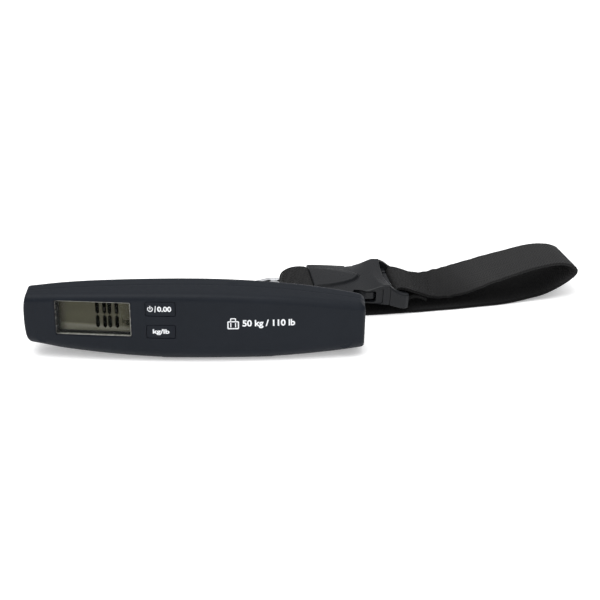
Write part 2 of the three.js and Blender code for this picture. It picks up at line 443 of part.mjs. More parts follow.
// ------------------------------------------------------------------- buckle
const buckle = new THREE.Group();
buckle.position.set(BUCKLE.x, BUCKLE.y, BUCKLE.z);
buckle.rotation.set(0, BUCKLE.pitch, BUCKLE.yaw, 'ZYX');
root.add(buckle);
{
  const top = [[-24.3, 3.3], [-20, 3.6], [-4, 3.6], [0, 3.75], [3, 4.35], [6, 5.3], [8.5, 6.05], [10.5, 6.35], [12, 6.15], [13.3, 5.5]];
  const side = [...top, [13.3, -4.0], [9, -3.9], [5, -3.7], [-24.3, -3.7]];
  const half = [[-24.3, 15.9], [-23.4, 16.5], [-15, 16.3], [-8, 15.9], [0, 15.9], [8, 16.3], [13.2, 16.5]];
  const mouth = [[13.2, 13.6], [12.6, 9], [12.1, 4], [12.0, 0], [12.1, -4], [12.6, -9], [13.2, -13.6]];
  const plan = [...half, ...mouth, ...half.slice().reverse().map(([x, y]) => [x, -y])];
  let f = solid(slabXZ(side, -18, 18)).intersect(solid(slabXY(plan, -8, 9)));
  const sh = [[-24.3, 11.6], [-15, 10.2], [-8, 8.2], [-3, 5.8], [-0.2, 3.2], [0.8, 0]];
  f = f.add(solid(slabXY([...sh, ...sh.slice(0, -1).reverse().map(([x, y]) => [x, -y])], 3.0, 4.7)));
  f = f.subtract(sbox(-12.5, 16, -13.0, 13.0, -2.3, 2.3));
  f = f.subtract(sbox(-2.4, 8.8, -20, 20, -2.6, 2.6));
  f = f.subtract(sbox(-26, -14.5, -13.3, 13.3, -5, 2.75));
  f = f.add(solid(new THREE.CylinderGeometry(1.5, 1.5, 28, 16).translate(-21.5, 0, -1.3)));
  put(buckle, 'buckle_socket', geometry(f), mat(0x3a3d41, 0.45));
}
{
  const side = [[13.7, 5.2], [16, 4.7], [20, 3.8], [24.5, 3.0], [24.5, -5.3], [21, -5.2], [16.5, -4.5], [13.7, -4.1]];
  let m = solid(slabXZ(side, -16.5, 16.5)).intersect(solid(slabXY([[13.7, -16.5], [22.6, -16.5], [24.5, -15.4], [24.5, 15.4], [22.6, 16.5], [13.7, 16.5]], -8, 8)));
  m = m.subtract(sbox(12, 17.8, -13.4, 13.4, 2.1, 8)).subtract(sbox(12, 17.8, -13.4, 13.4, -8, -2.1)).subtract(sbox(17.8, 26, -13.4, 13.4, -8, 8));
  m = m.add(solid(new THREE.CylinderGeometry(1.5, 1.5, 28, 16).translate(21.4, 0, -1.0)));
  m = m.subtract(sbox(12, 16.4, 7.6, 11.9, -3, 3)).subtract(sbox(12, 16.4, -11.9, -7.6, -3, 3));
  m = m.add(sbox(-4, 14, -2.1, 2.1, -1.0, 1.0));
  put(buckle, 'buckle_plug', geometry(m), mat(0x3a3d41, 0.45));
}
const armOutline = [[16.0, 8.4], [16.0, 10.8], [13.0, 11.3], [8.3, 11.7], [8.3, 14.3], [6.6, 14.9], [2.2, 14.9], [-0.4, 13.9], [-3.6, 11.2], [-6.2, 9.2], [-6.0, 8.1], [-2, 9.3], [4, 9.4], [10, 8.8]];
const armGeo = (s) => geometry(solid(slabXY(s > 0 ? armOutline : armOutline.map(([x, y]) => [x, -y]).reverse(), -1.9, 1.9)));
put(buckle, 'buckle_arm_far', armGeo(1), mat(0x3a3d41, 0.45));
put(buckle, 'buckle_arm_near', armGeo(-1), mat(0x3a3d41, 0.45));

export default part;
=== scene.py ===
import bpy, bmesh, math
import numpy as np
from mathutils import Vector, Matrix


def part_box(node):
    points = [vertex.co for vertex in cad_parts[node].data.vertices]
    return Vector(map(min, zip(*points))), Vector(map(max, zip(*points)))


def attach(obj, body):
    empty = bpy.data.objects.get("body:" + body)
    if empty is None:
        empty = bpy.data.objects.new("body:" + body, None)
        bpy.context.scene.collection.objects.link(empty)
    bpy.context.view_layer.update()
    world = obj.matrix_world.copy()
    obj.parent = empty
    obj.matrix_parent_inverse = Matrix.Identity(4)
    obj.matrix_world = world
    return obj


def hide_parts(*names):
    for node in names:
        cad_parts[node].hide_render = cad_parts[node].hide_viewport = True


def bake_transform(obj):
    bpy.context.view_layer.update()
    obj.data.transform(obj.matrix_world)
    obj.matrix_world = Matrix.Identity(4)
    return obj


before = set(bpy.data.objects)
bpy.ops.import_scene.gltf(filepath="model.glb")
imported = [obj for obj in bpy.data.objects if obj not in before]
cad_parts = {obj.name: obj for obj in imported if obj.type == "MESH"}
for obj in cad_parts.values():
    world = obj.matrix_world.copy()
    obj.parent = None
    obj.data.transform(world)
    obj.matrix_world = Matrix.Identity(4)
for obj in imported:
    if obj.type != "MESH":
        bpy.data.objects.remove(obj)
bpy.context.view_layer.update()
PI = math.pi
DEG = PI / 180
MM = 0.001

# ------------------------------------------------------------------ dimensions
_f_lo, _f_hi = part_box("front_shell")
_r_lo, _r_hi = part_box("rear_shell")
OY = -_f_lo.y / MM                      # front of the bow to the frame's origin, mm
XL, XR = _f_lo.x / MM, _f_hi.x / MM     # case ends, mm
BACK_Y = _r_hi.y / MM + OY              # rear face
PART_Y = (_f_hi.y + _r_lo.y) / 2 / MM + OY
TOP_Z = _f_hi.z / MM
WALL = 2.0
R_FT, R_FL, R_B = 3.4, 6.0, 5.0
WIN = dict(x0=-63.7, x1=-28.6, z0=12.4, z1=29.8)
WIN_TURN = -4.4 * DEG
KEYS = {"zero": dict(x0=-21.9, x1=-8.4, z0=23.4, z1=30.4), "unit": dict(x0=-21.7, x1=-8.6, z0=12.2, z1=18.7)}
DOOR = dict(x0=-61.0, x1=-35.0, z0=7.0, z1=28.8, t=1.7)
DOOR_ZC = 17.9
LUG_Z = 11.5
EYE = (0.0, 32.0)
CROSS = (22.6, 49.0)
LINK_ROD, LINK_HALF = 3.4, 4.3
BUCKLE = dict(x=76.0, y=62.0, z=10.8, yaw=8 * DEG, pitch=3 * DEG)
RING = dict(a=-33.3, z=8.2, slope=9 * DEG, half=15.0, leg=12.0, rod=4.0)
WEB_W, WEB_T = 25.0, 1.4
CY, SY = math.cos(BUCKLE["yaw"]), math.sin(BUCKLE["yaw"])


def front_y(x): return 5.0 * (np.asarray(x, float) / 77.5) ** 2
def back_y(x):
    a = np.maximum(0, np.abs(np.asarray(x, float)) - 45) / 32.5
    return BACK_Y - 1.8 * a * a
def top_z(x): return TOP_Z - (5.3e-4 if x < -5 else 1.073e-3) * (x + 5) ** 2
def low_z(x):
    v = 7.93e-4 * (x - 8) ** 2 if x < 8 else 7.7e-4 * (x - 12) ** 2 if x > 12 else 0
    v -= 0.2
    return max(0.0, v) if v > 0.25 else 0.0 if v < -0.05 else (v + 0.05) ** 2 / 1.2


# --------------------------------------------------------------- mesh helpers
def to_frame(v):
    v = np.asarray(v, float).reshape(-1, 3).copy()
    v[:, 1] -= OY
    return v * MM


def raw_obj(name, verts, faces, in_mm=True):
    v = to_frame(verts) if in_mm else np.asarray(verts, float)
    me = bpy.data.meshes.new(name)
    me.from_pydata(v.tolist(), [], [tuple(int(i) for i in f) for f in faces])
    me.update()
    o = bpy.data.objects.new(name, me)
    bpy.context.scene.collection.objects.link(o)
    return o


def clean(o, dist=2e-7, fix=True):
    bm = bmesh.new(); bm.from_mesh(o.data)
    bmesh.ops.remove_doubles(bm, verts=bm.verts, dist=dist)
    bmesh.ops.dissolve_degenerate(bm, edges=bm.edges, dist=1e-8)
    if fix:
        bmesh.ops.recalc_face_normals(bm, faces=bm.faces)
    bm.to_mesh(o.data); bm.free()
    return o


def shade(o, angle=32):
    me = o.data
    me.polygons.foreach_set("use_smooth", [True] * len(me.polygons))
    me.set_sharp_from_angle(angle=math.radians(angle))
    me.update()
    return o


def apply_mods(o):
    dg = bpy.context.evaluated_depsgraph_get()
    me = bpy.data.meshes.new_from_object(o.evaluated_get(dg))
    old = o.data
    o.modifiers.clear()
    o.data = me
    bpy.data.meshes.remove(old)
    return o


def boolean(o, others, op="DIFFERENCE", solver="EXACT"):
    for c in others:
        m = o.modifiers.new("b", "BOOLEAN")
        m.operation, m.solver, m.object = op, solver, c
        bpy.context.view_layer.update()
        apply_mods(o)
        me = c.data
        bpy.data.objects.remove(c)
        bpy.data.meshes.remove(me)
    return clean(o)


def bevel(o, width, seg=2, angle=30):
    m = o.modifiers.new("bev", "BEVEL")
    m.width, m.segments, m.limit_method, m.angle_limit = width * MM, seg, "ANGLE", math.radians(angle)
    m.use_clamp_overlap = True
    m.harden_normals = False
    bpy.context.view_layer.update()
    return apply_mods(o)


def place(o, body, mat, replaces=(), angle=32):
    if mat is not None:
        mats = mat if isinstance(mat, (list, tuple)) else [mat]
        o.data.materials.clear()
        for m in mats:
            o.data.materials.append(m)
    shade(o, angle)
    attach(o, body)
    if replaces:
        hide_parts(*replaces)
    return o


def grid(K, n, loop_j=False, loop_k=False):
    k = np.arange(K if loop_k else K - 1)
    j = np.arange(n if loop_j else n - 1)
    kk, jj = np.meshgrid(k, j, indexing="ij")
    a, b = kk * n + jj, ((kk + 1) % K) * n + jj
    c, d = ((kk + 1) % K) * n + (jj + 1) % n, kk * n + (jj + 1) % n
    return np.stack([a, b, c, d], -1).reshape(-1, 4)


def tube_rings(rings, loop_k=False, cap=True):
    K, n = len(rings), len(rings[0])
    V = np.array(rings, float).reshape(-1, 3)
    F = [tuple(f) for f in grid(K, n, loop_j=True, loop_k=loop_k)]
    if cap and not loop_k:
        F.append(tuple(range(n)))
        F.append(tuple(range((K - 1) * n, K * n)))
    return V, F


def rbox_outline(x0, x1, z0, z1, r, n=6):
    out = []
    for cx, cz, a0 in ((x1 - r, z1 - r, 0), (x0 + r, z1 - r, 90), (x0 + r, z0 + r, 180), (x1 - r, z0 + r, 270)):
        for i in range(n + 1):
            a = (a0 + 90 * i / n) * DEG
            out.append((cx + r * math.cos(a), cz + r * math.sin(a)))
    return out


def prism_y(outlines):
    """outlines: list of (y, [(x, z)...]) of equal length, closed at both ends"""
    return tube_rings([[(x, y, z) for x, z in o] for y, o in outlines])


def prism_z(outlines):
    return tube_rings([[(x, y, z) for x, y in o] for z, o in outlines])


def xform(V, M):
    V = np.asarray(V, float).reshape(-1, 3)
    A = np.array(M, float)
    return V @ A[:3, :3].T + A[:3, 3]


def lathe(profile, n=32, axis="z"):
    """profile of (r, h) from axis to axis, or closed on itself when no point is on the axis"""
    closed = all(r > 1e-6 for r, _ in profile)
    rings = []
    for i in range(n):
        a = 2 * PI * i / n
        rings.append([(r * math.cos(a), r * math.sin(a), h) for r, h in profile])
    K, m = n, len(profile)
    V = np.array(rings, float).reshape(-1, 3)
    F = [tuple(f) for f in grid(K, m, loop_j=closed, loop_k=True)]
    if axis == "y":
        V = V[:, [0, 2, 1]] * np.array([1, 1, -1])
    return V, F


def rounded_profile(points, r, n=3):
    """polyline (closed=False) with its inner corners rounded"""
    out = [points[0]]
    for i in range(1, len(points) - 1):
        p0, p, p1 = (np.array(q, float) for q in (points[i - 1], points[i], points[i + 1]))
        d0, d1 = p0 - p, p1 - p
        l0, l1 = np.linalg.norm(d0), np.linalg.norm(d1)
        k = min(r, l0 * 0.45, l1 * 0.45)
        a, b = p + d0 / l0 * k, p + d1 / l1 * k
        for t in np.linspace(0, 1, n + 1):
            out.append(tuple((1 - t) ** 2 * a + 2 * t * (1 - t) * p + t * t * b))
    out.append(points[-1])
    return out


# ------------------------------------------------------------------ materials
class NodeMat:
    def __init__(self, name):
        self.m = bpy.data.materials.new(name)
        self.m.use_nodes = True
        self.nt = self.m.node_tree
        self.b = self.nt.nodes["Principled BSDF"]
        self.out = self.nt.nodes["Material Output"]

    def n(self, kind, **kw):
        x = self.nt.nodes.new(kind)
        for k, v in kw.items():
            if k.startswith("i_"):
                x.inputs[int(k[2:])].default_value = v
            elif k.startswith("I_"):
                x.inputs[k[2:].replace("_", " ")].default_value = v
            else:
                setattr(x, k, v)
        return x

    def l(self, a, b): self.nt.links.new(a, b)

    def coord(self, kind="Object"):
        return self.n("ShaderNodeTexCoord").outputs[kind]

    def noise(self, scale, detail=2.0, rough=0.5, vec=None, stretch=None):
        x = self.n("ShaderNodeTexNoise")
        x.inputs["Scale"].default_value = scale
        x.inputs["Detail"].default_value = detail
        x.inputs["Roughness"].default_value = rough
        v = vec or self.coord()
        if stretch:
            mp = self.n("ShaderNodeMapping")
            mp.inputs["Scale"].default_value = stretch
            self.l(v, mp.inputs["Vector"])
            v = mp.outputs[0]
        self.l(v, x.inputs["Vector"])
        return x.outputs["Fac"]

    def ramp(self, fac, stops):
        r = self.n("ShaderNodeValToRGB")
        e = r.color_ramp.elements
        e[0].position, e[0].color = stops[0][0], (*stops[0][1], 1)
        e[1].position, e[1].color = stops[-1][0], (*stops[-1][1], 1)
        for p, c in stops[1:-1]:
            q = e.new(p)
            q.color = (*c, 1)
        self.l(fac, r.inputs[0])
        return r.outputs[0]

    def span(self, fac, lo, hi, a=0.0, b=1.0):
        m = self.n("ShaderNodeMapRange")
        m.inputs[1].default_value, m.inputs[2].default_value = lo, hi
        m.inputs[3].default_value, m.inputs[4].default_value = a, b
        self.l(fac, m.inputs[0])
        return m.outputs[0]

    def math(self, op, a, b=None, c=None):
        m = self.n("ShaderNodeMath", operation=op)
        for i, v in enumerate((a, b, c)):
            if v is None:
                continue
            if isinstance(v, (int, float)):
                m.inputs[i].default_value = v
            else:
                self.l(v, m.inputs[i])
        return m.outputs[0]

    def mix(self, fac, a, b):
        m = self.n("ShaderNodeMix", data_type="RGBA")
        if isinstance(fac, (int, float)):
            m.inputs[0].default_value = fac
        else:
            self.l(fac, m.inputs[0])
        for i, v in ((6, a), (7, b)):
            if isinstance(v, tuple):
                m.inputs[i].default_value = (*v, 1)
            else:
                self.l(v, m.inputs[i])
        return m.outputs[2]

    def bump(self, height, strength, dist, normal=None):
        b = self.n("ShaderNodeBump")
        b.inputs["Strength"].default_value = strength
        b.inputs["Distance"].default_value = dist
        self.l(height, b.inputs["Height"])
        if normal is not None:
            self.l(normal, b.inputs["Normal"])
        return b.outputs[0]

    def set(self, base=None, rough=None, metal=None, spec=None, normal=None, coat=None, sheen=None, coat_rough=None):
        for key, v in (("Base Color", base), ("Roughness", rough), ("Metallic", metal), ("Specular IOR Level", spec),
                       ("Coat Weight", coat), ("Coat Roughness", coat_rough), ("Sheen Weight", sheen)):
            if v is None:
                continue
            s = self.b.inputs[key]
            if isinstance(v, tuple):
                s.default_value = (*v, 1)
            elif isinstance(v, (int, float)):
                s.default_value = v
            else:
                self.l(v, s)
        if normal is not None:
            self.l(normal, self.b.inputs["Normal"])
        return self.m


def moulded(name, dark, light, rough=(0.42, 0.56), grain=2600, bump=0.25, spec=0.35, edge=0.35, edge_wear_highlight_col=None, dist=0.00006):
    """moulded plastic: spark-eroded grain, slow colour drift, and convex edges lightened, partly as rubbed wear and
    partly as a painted edge highlight
    """
    k = NodeMat(name)
    slow = k.noise(28, 3, 0.6)
    fine = k.noise(grain, 2, 0.6)
    mid = k.noise(grain / 7, 3, 0.55)
    col = k.mix(k.span(slow, 0.35, 0.65), dark, light)
    col = k.mix(k.span(fine, 0.3, 0.75, 0, 0.35), col, tuple(min(1, c * 1.5) for c in light))
    geo = k.n("ShaderNodeNewGeometry")
    # convex edges (pointiness) lightened: partly rubbed wear, partly a painted edge highlight
    wear_and_highlight = k.math("MULTIPLY", k.span(geo.outputs["Pointiness"], 0.53, 0.62), k.span(mid, 0.35, 0.7))
    col = k.mix(k.math("MULTIPLY", wear_and_highlight, edge), col, edge_wear_highlight_col or tuple(min(1, c * 3.2) for c in light))
    rg = k.span(k.math("ADD", k.math("MULTIPLY", fine, 0.5), k.math("MULTIPLY", mid, 0.5)), 0.3, 0.7, *rough)
    h = k.math("ADD", fine, k.math("MULTIPLY", mid, 0.5))
    return k.set(base=col, rough=rg, spec=spec, normal=k.bump(h, bump, dist))


def metal(name, col, rough=(0.18, 0.34), brushed=None, bump=0.12, tint=0.85):
    k = NodeMat(name)
    n1 = k.noise(400, 4, 0.6, stretch=brushed)
    n2 = k.noise(45, 3, 0.5)
    c = k.mix(k.span(n2, 0.3, 0.7), tuple(x * tint for x in col), col)
    c = k.mix(k.span(n1, 0.55, 0.8, 0, 0.35), c, tuple(x * 0.55 for x in col))
    return k.set(base=c, rough=k.span(n1, 0.3, 0.7, *rough), metal=1.0, normal=k.bump(n1, bump, 0.00004))


plastic_case = moulded("case_satin_plastic", (0.0056, 0.0077, 0.0116), (0.0072, 0.0096, 0.0141), (0.42, 0.54), grain=2300, bump=0.30, spec=0.14, edge=0.10)
plastic_key = moulded("key_satin_plastic", (0.0062, 0.0083, 0.0123), (0.0078, 0.0102, 0.0148), (0.46, 0.60), grain=3000, bump=0.22, spec=0.13, edge=0.14)
acetal = moulded("buckle_acetal", (0.0068, 0.0076, 0.0092), (0.0096, 0.0104, 0.0120), (0.25, 0.36), grain=1500, bump=0.08, spec=0.19, edge=0.46)
steel = metal("polished_steel", (0.62, 0.63, 0.65), (0.14, 0.26))
steel_plate = metal("stamped_steel", (0.52, 0.53, 0.55), (0.26, 0.42), brushed=(1, 1, 8), bump=0.25)
screw_zinc = metal("zinc_plated_steel", (0.50, 0.51, 0.52), (0.24, 0.40), bump=0.2)
aluminium = metal("machined_aluminium", (0.72, 0.73, 0.74), (0.24, 0.38), brushed=(1, 14, 14), bump=0.3)
spring_steel = metal("spring_steel", (0.60, 0.60, 0.58), (0.20, 0.32), brushed=(1, 6, 1), bump=0.2)


def print_ink():
    k = NodeMat("white_pad_print")
    n1 = k.noise(1800, 3, 0.7)
    n2 = k.noise(260, 2, 0.5)
    c = k.mix(k.span(n1, 0.32, 0.55), (0.62, 0.64, 0.66), (0.86, 0.88, 0.90))
    c = k.mix(k.span(n2, 0.3, 0.7, 0, 0.25), c, (0.60, 0.62, 0.63))
    return k.set(base=c, rough=k.span(n1, 0.3, 0.7, 0.45, 0.65), spec=0.3, normal=k.bump(n1, 0.2, 0.00003))


ink = print_ink()


# ------------------------------------------------------------ case half shells
def inset(R, d):
    return 0.0 if d >= R else R - math.sqrt(max(0.0, R * R - (R - d) ** 2))


def section(x, half, off):
    dl, dr = x - XL, XR - x
    i_f = inset(1.1, dl) + inset(1.8, dr)
    i_b = inset(1.1, dl) + inset(2.3, dr)
    i_t = inset(0.8, dl) + inset(3.4, dr)
    i_l = inset(0.6, dl) + inset(1.0, dr)
    y0, y1 = float(front_y(x)) + i_f + off, float(back_y(x)) - i_b - off
    z0, z1 = low_z(x) + i_l + off, top_z(x) - i_t - off
    yp = PART_Y + (-0.04 if half == "front" else 0.04)
    q = 0.0 if off else 1.0
    pts = []
    if half == "front":
        r1 = min(max(0.9, R_FT - 0.5 * (i_f + i_t) - off), yp - 0.5 - y0)
        r2 = min(max(0.9, R_FL - 0.5 * (i_f + i_l) - off), yp - 0.5 - y0)
        pts += [(yp, z1 - 0.13 * q), (yp - 0.04, z1 - 0.04 * q), (yp - 0.34, z1)]
        pts += [(y, z1) for y in np.linspace(yp - 0.34, y0 + r1, 7)[1:]]
        pts += [(y0 + r1 + r1 * math.cos(a), z1 - r1 + r1 * math.sin(a)) for a in np.linspace(PI / 2, PI, 17)[1:]]
        pts += [(y0, z) for z in np.linspace(z1 - r1, z0 + r2, 15)[1:]]
        pts += [(y0 + r2 + r2 * math.cos(a), z0 + r2 + r2 * math.sin(a)) for a in np.linspace(PI, 1.5 * PI, 17)[1:]]
        pts += [(y, z0) for y in np.linspace(y0 + r2, yp - 0.34, 7)[1:]]
        pts += [(yp - 0.04, z0 + 0.04 * q), (yp, z0 + 0.13 * q)]
    else:
        r1 = min(max(0.9, R_B - 0.5 * (i_b + i_t) - off), y1 - yp - 0.5)
        r2 = min(max(0.9, R_B - 0.5 * (i_b + i_l) - off), y1 - yp - 0.5)
        nub = 0.0 if off else 0.30 * math.exp(-((x - 17.0) / 2.1) ** 6)
        pts += [(yp, z1 - 0.13 * q), (yp + 0.04, z1 - 0.04 * q), (yp + 0.34, z1)]
        ys = np.linspace(yp + 0.34, y1 - r1, 9)[1:]
        pts += [(y, z1 + nub * math.exp(-((y - (yp + 3.4)) / 1.9) ** 4)) for y in ys]
        pts += [(y1 - r1 + r1 * math.cos(a), z1 - r1 + r1 * math.sin(a)) for a in np.linspace(PI / 2, 0, 17)[1:]]
        pts += [(y1, z) for z in np.linspace(z1 - r1, z0 + r2, 15)[1:]]
        pts += [(y1 - r2 + r2 * math.cos(a), z0 + r2 + r2 * math.sin(a)) for a in np.linspace(0, -PI / 2, 17)[1:]]
        pts += [(y, z0) for y in np.linspace(y1 - r2, yp + 0.34, 7)[1:]]
        pts += [(yp + 0.04, z0 + 0.04 * q), (yp, z0 + 0.13 * q)]
    return pts


def warp_x(x, z):
    if x < -60:
        t = min(1.0, (-60 - x) / 16.0)
        d = z - 19.4
        return x + (0.0050 * d ** 2 + 4e-5 * d ** 4) * t * t * (3 - 2 * t)
    if x > 66:
        t = min(1.0, (x - 66) / 10.0)
        return x - 0.00066 * max(0.0, 31.0 - z) ** 2 * t * t * (3 - 2 * t)
    return x


def half_shell(name, half):
    st = [(XL, s) for s in (0.0, 0.2, 0.4, 0.6, 0.8, 0.92)]
    st += [(XL + 2.0 * (1 - math.cos(a)), 1.0) for a in np.linspace(0, PI / 2, 15)]
    st += [(x, 1.0) for x in np.linspace(XL + 2.0, XR - 3.5, 131)[1:]]
    st += [(XR - 3.5 * (1 - math.cos(a)), 1.0) for a in np.linspace(PI / 2, 0, 20)[1:]]
    st += [(XR, s) for s in (0.92, 0.8, 0.6, 0.4, 0.2, 0.0)]
    outer, inner = [], []
    yp = PART_Y + (-0.04 if half == "front" else 0.04)
    for x, s in st:
        for off, dst in ((0.0, outer), (WALL, inner)):
            xx = x if not off else XL + off + (x - XL) * (XR - XL - 2 * off) / (XR - XL)
            pts = section(x, half, off)
            zc = (low_z(x) + top_z(x)) / 2
            row = []
            for y, z in pts:
                y2, z2 = yp + (y - yp) * s, zc + (z - zc) * s
                row.append((warp_x(xx, z2) if s == 1.0 else warp_x(xx, z2), y2, z2))
            dst.append(row)
    K, n = len(st), len(outer[0])
    V = np.array(outer + inner, float).reshape(-1, 3)
    F = [tuple(f) for f in grid(K, n)]
    F += [tuple(K * n + i for i in f[::-1]) for f in grid(K, n)]
    for j in (0, n - 1):
        for k in range(K - 1):
            a, b = k * n + j, (k + 1) * n + j
            F.append((a, b, b + K * n, a + K * n))
    return clean(raw_obj(name, V, F), dist=1e-6)


win_x, win_z = (WIN["x0"] + WIN["x1"]) / 2, (WIN["z0"] + WIN["z1"]) / 2
win_y = (front_y(WIN["x0"]) + front_y(WIN["x1"])) / 2
win_w, win_h = WIN["x1"] - WIN["x0"], WIN["z1"] - WIN["z0"]
DISPLAY = Matrix.Translation((win_x, float(win_y), win_z)) @ Matrix.Rotation(WIN_TURN, 4, "Z")


def cutter(outlines, M=None, y=True):
    V, F = prism_y(outlines) if y else prism_z(outlines)
    if M is not None:
        V = xform(V, M)
    return clean(raw_obj("cut", V, F))


def frame_o(g, r=0.6, n=5):
    return rbox_outline(-win_w / 2 - g, win_w / 2 + g, -win_h / 2 - g, win_h / 2 + g, r + g, n)


def pocket_o(): return rbox_outline(-win_w / 2 - 1.7, win_w / 2 + 1.7, -win_h / 2 - 1.6, 9.2, 0.8, 5)


front = half_shell("case_front", "front")
cuts = [cutter([(-6, frame_o(0.55)), (-0.10, frame_o(0.30)), (0.12, frame_o(0.0)), (1.35, frame_o(0.0)), (1.36, pocket_o()), (7, pocket_o())], DISPLAY)]
for k in KEYS.values():
    kx = (k["x0"] + k["x1"]) / 2
    yf = float(front_y(kx))
    def o(g, k=k): return rbox_outline(k["x0"] - 0.16 - g, k["x1"] + 0.16 + g, k["z0"] - 0.16 - g, k["z1"] + 0.16 + g, 0.9 + g, 5)
    cuts.append(cutter([(-4, o(0.6)), (yf - 0.05, o(0.08)), (yf + 0.14, o(0.0)), (7, o(0.0))]))
front = boolean(front, cuts)
front.name = "case_front"
place(front, "case", plastic_case, ["front_shell"], angle=28)

rear = half_shell("case_rear", "rear")
BOSS = [(-69.5, 11.5), (-69.5, 25.0), (68.5, 8.6), (68.5, 21.8)]
adds = []
for x, z in BOSS:
    V, F = lathe([(0, 0), (3.6, 0), (3.6, -(float(back_y(x)) - 0.8 - 12.4)), (0, -(float(back_y(x)) - 0.8 - 12.4))], 28, "y")
    adds.append(clean(raw_obj("add", V + np.array([x, 12.4, z]), F)))
adds.append(cutter([(12.4, rbox_outline(-62.4, -33.6, 5.9, 29.9, 1.0, 3)), (20.9, rbox_outline(-62.4, -33.6, 5.9, 29.9, 1.0, 3))]))
adds.append(cutter([(16.9, rbox_outline(29.5, 41.5, 6.4, 16.6, 1.0, 3)), (20.9, rbox_outline(29.5, 41.5, 6.4, 16.6, 1.0, 3))]))
rear = boolean(rear, adds, "UNION")
cuts = []
for x, z in BOSS:
    b = float(back_y(x))
    prof = [(0, -10.0), (1.5, -10.0), (1.5, -17.4), (2.9, -17.4), (2.9, -(b - 0.35)), (3.3, -(b + 0.05)), (3.6, -26), (0, -26)]
    V, F = lathe([(r, h) for r, h in prof], 40, "y")
    V = V * np.array([1, 1, 1])
    cuts.append(clean(raw_obj("cut", np.column_stack([V[:, 0] + x, V[:, 1], V[:, 2] + z]), F)))
cuts.append(cutter([(13.2, rbox_outline(-59.2, -36.8, 7.4, 28.4, 1.2, 4)), (26, rbox_outline(-59.2, -36.8, 7.4, 28.4, 1.2, 4))]))
g = 0.35
do = lambda e: rbox_outline(DOOR["x0"] - g - e, DOOR["x1"] + g + e, DOOR["z0"] - g - e, DOOR["z1"] + g + e, 1.6 + e, 6)
cuts.append(cutter([(BACK_Y - DOOR["t"] - 0.35, do(0)), (BACK_Y - 0.62, do(0)), (BACK_Y - 0.32, do(0.22)), (26, do(0.5))]))
so = lambda e: rbox_outline(-5.8 - e, 5.8 + e, LUG_Z - 2.7 - e, LUG_Z + 2.7 + e, 2.2 + e, 6)
cuts.append(cutter([(16, so(0)), (BACK_Y - 0.6, so(0)), (BACK_Y + 0.02, so(0.5)), (26, so(1.4))]))
rear = boolean(rear, cuts)
rear.name = "case_rear"
place(rear, "case", plastic_case, ["rear_shell"], angle=28)

# ------------------------------------------------------------------ the keys
for key, k in KEYS.items():
    kx, kz = (k["x0"] + k["x1"]) / 2, (k["z0"] + k["z1"]) / 2
    yf = float(front_y(kx)) + 0.05
    def o(g): return rbox_outline(k["x0"] + g, k["x1"] - g, k["z0"] + g, k["z1"] - g, max(0.3, 0.75 - g), 6)
    levels = [(yf, o(0.26)), (yf + 0.02, o(0.15)), (yf + 0.06, o(0.07)), (yf + 0.13, o(0.02)), (yf + 0.25, o(0)), (yf + 2.9, o(0))]
    V, F = prism_y(levels)
    # the outer face follows the bow of the case
    near = V[:, 1] < yf + 1
    V[near, 1] += front_y(V[near, 0]) - front_y(kx)
    cap = clean(raw_obj("key_" + key, V, F))
    flange = cutter([(yf + 2.7, rbox_outline(k["x0"] - 1, k["x1"] + 1, k["z0"] + 0.3, k["z1"] - 0.3, 0.5, 2)),
                     (yf + 3.4, rbox_outline(k["x0"] - 1, k["x1"] + 1, k["z0"] + 0.3, k["z1"] - 0.3, 0.5, 2))])
    V, F = lathe([(0, 0), (1.4, 0), (1.4, -1.6), (1.2, -1.85), (0, -1.85)], 24, "y")
    stem = clean(raw_obj("stem", V + np.array([kx, yf + 3.2, kz]), F))
    cap = boolean(cap, [flange, stem], "UNION")
    cap.name = "key_" + key
    place(cap, key + "_key", plastic_key, [key + "_button"], angle=40)


# -------------------------------------------------------------- printed marks
def flat_mesh(name, polys, thick=0.045):
    """closed thin plates from outlines in (x, z); each is a list of points or (outer, hole)"""
    bm = bmesh.new()
    for p in polys:
        rings = p if isinstance(p, tuple) else (p,)
        edges = []
        for r in rings:
            vs = [bm.verts.new((x, 0.0, z)) for x, z in r]
            edges += [bm.edges.new((vs[i], vs[(i + 1) % len(vs)])) for i in range(len(vs))]
        bmesh.ops.triangle_fill(bm, edges=edges, use_beauty=True)
    bmesh.ops.subdivide_edges(bm, edges=[e for e in bm.edges if e.calc_length() > 1.2], cuts=1)
    faces = list(bm.faces)
    r = bmesh.ops.extrude_face_region(bm, geom=faces)
    for v in r["geom"]:
        if isinstance(v, bmesh.types.BMVert):
            v.co.y -= thick
    bmesh.ops.recalc_face_normals(bm, faces=bm.faces)
    me = bpy.data.meshes.new(name)
    bm.to_mesh(me); bm.free()
    o = bpy.data.objects.new(name, me)
    bpy.context.scene.collection.objects.link(o)
    return o


def text_mesh(name, body, size, bold=0.0, thick=0.045, spacing=1.0):
    c = bpy.data.curves.new(name, "FONT")
    c.body, c.size, c.offset, c.space_character = body, size, bold, spacing
    c.align_x, c.align_y, c.resolution_u = "CENTER", "CENTER", 6
    c.extrude = thick / 2
    o = bpy.data.objects.new(name, c)
    bpy.context.scene.collection.objects.link(o)
    bpy.context.view_layer.update()
    me = bpy.data.meshes.new_from_object(o.evaluated_get(bpy.context.evaluated_depsgraph_get()))
    bpy.data.objects.remove(o)
    v = np.array([q.co for q in me.vertices], float).reshape(-1, 3)
    v = np.column_stack([v[:, 0], -v[:, 2], v[:, 1]])
    me.vertices.foreach_set("co", v.ravel())
    o = bpy.data.objects.new(name, me)
    bpy.context.scene.collection.objects.link(o)
    return o


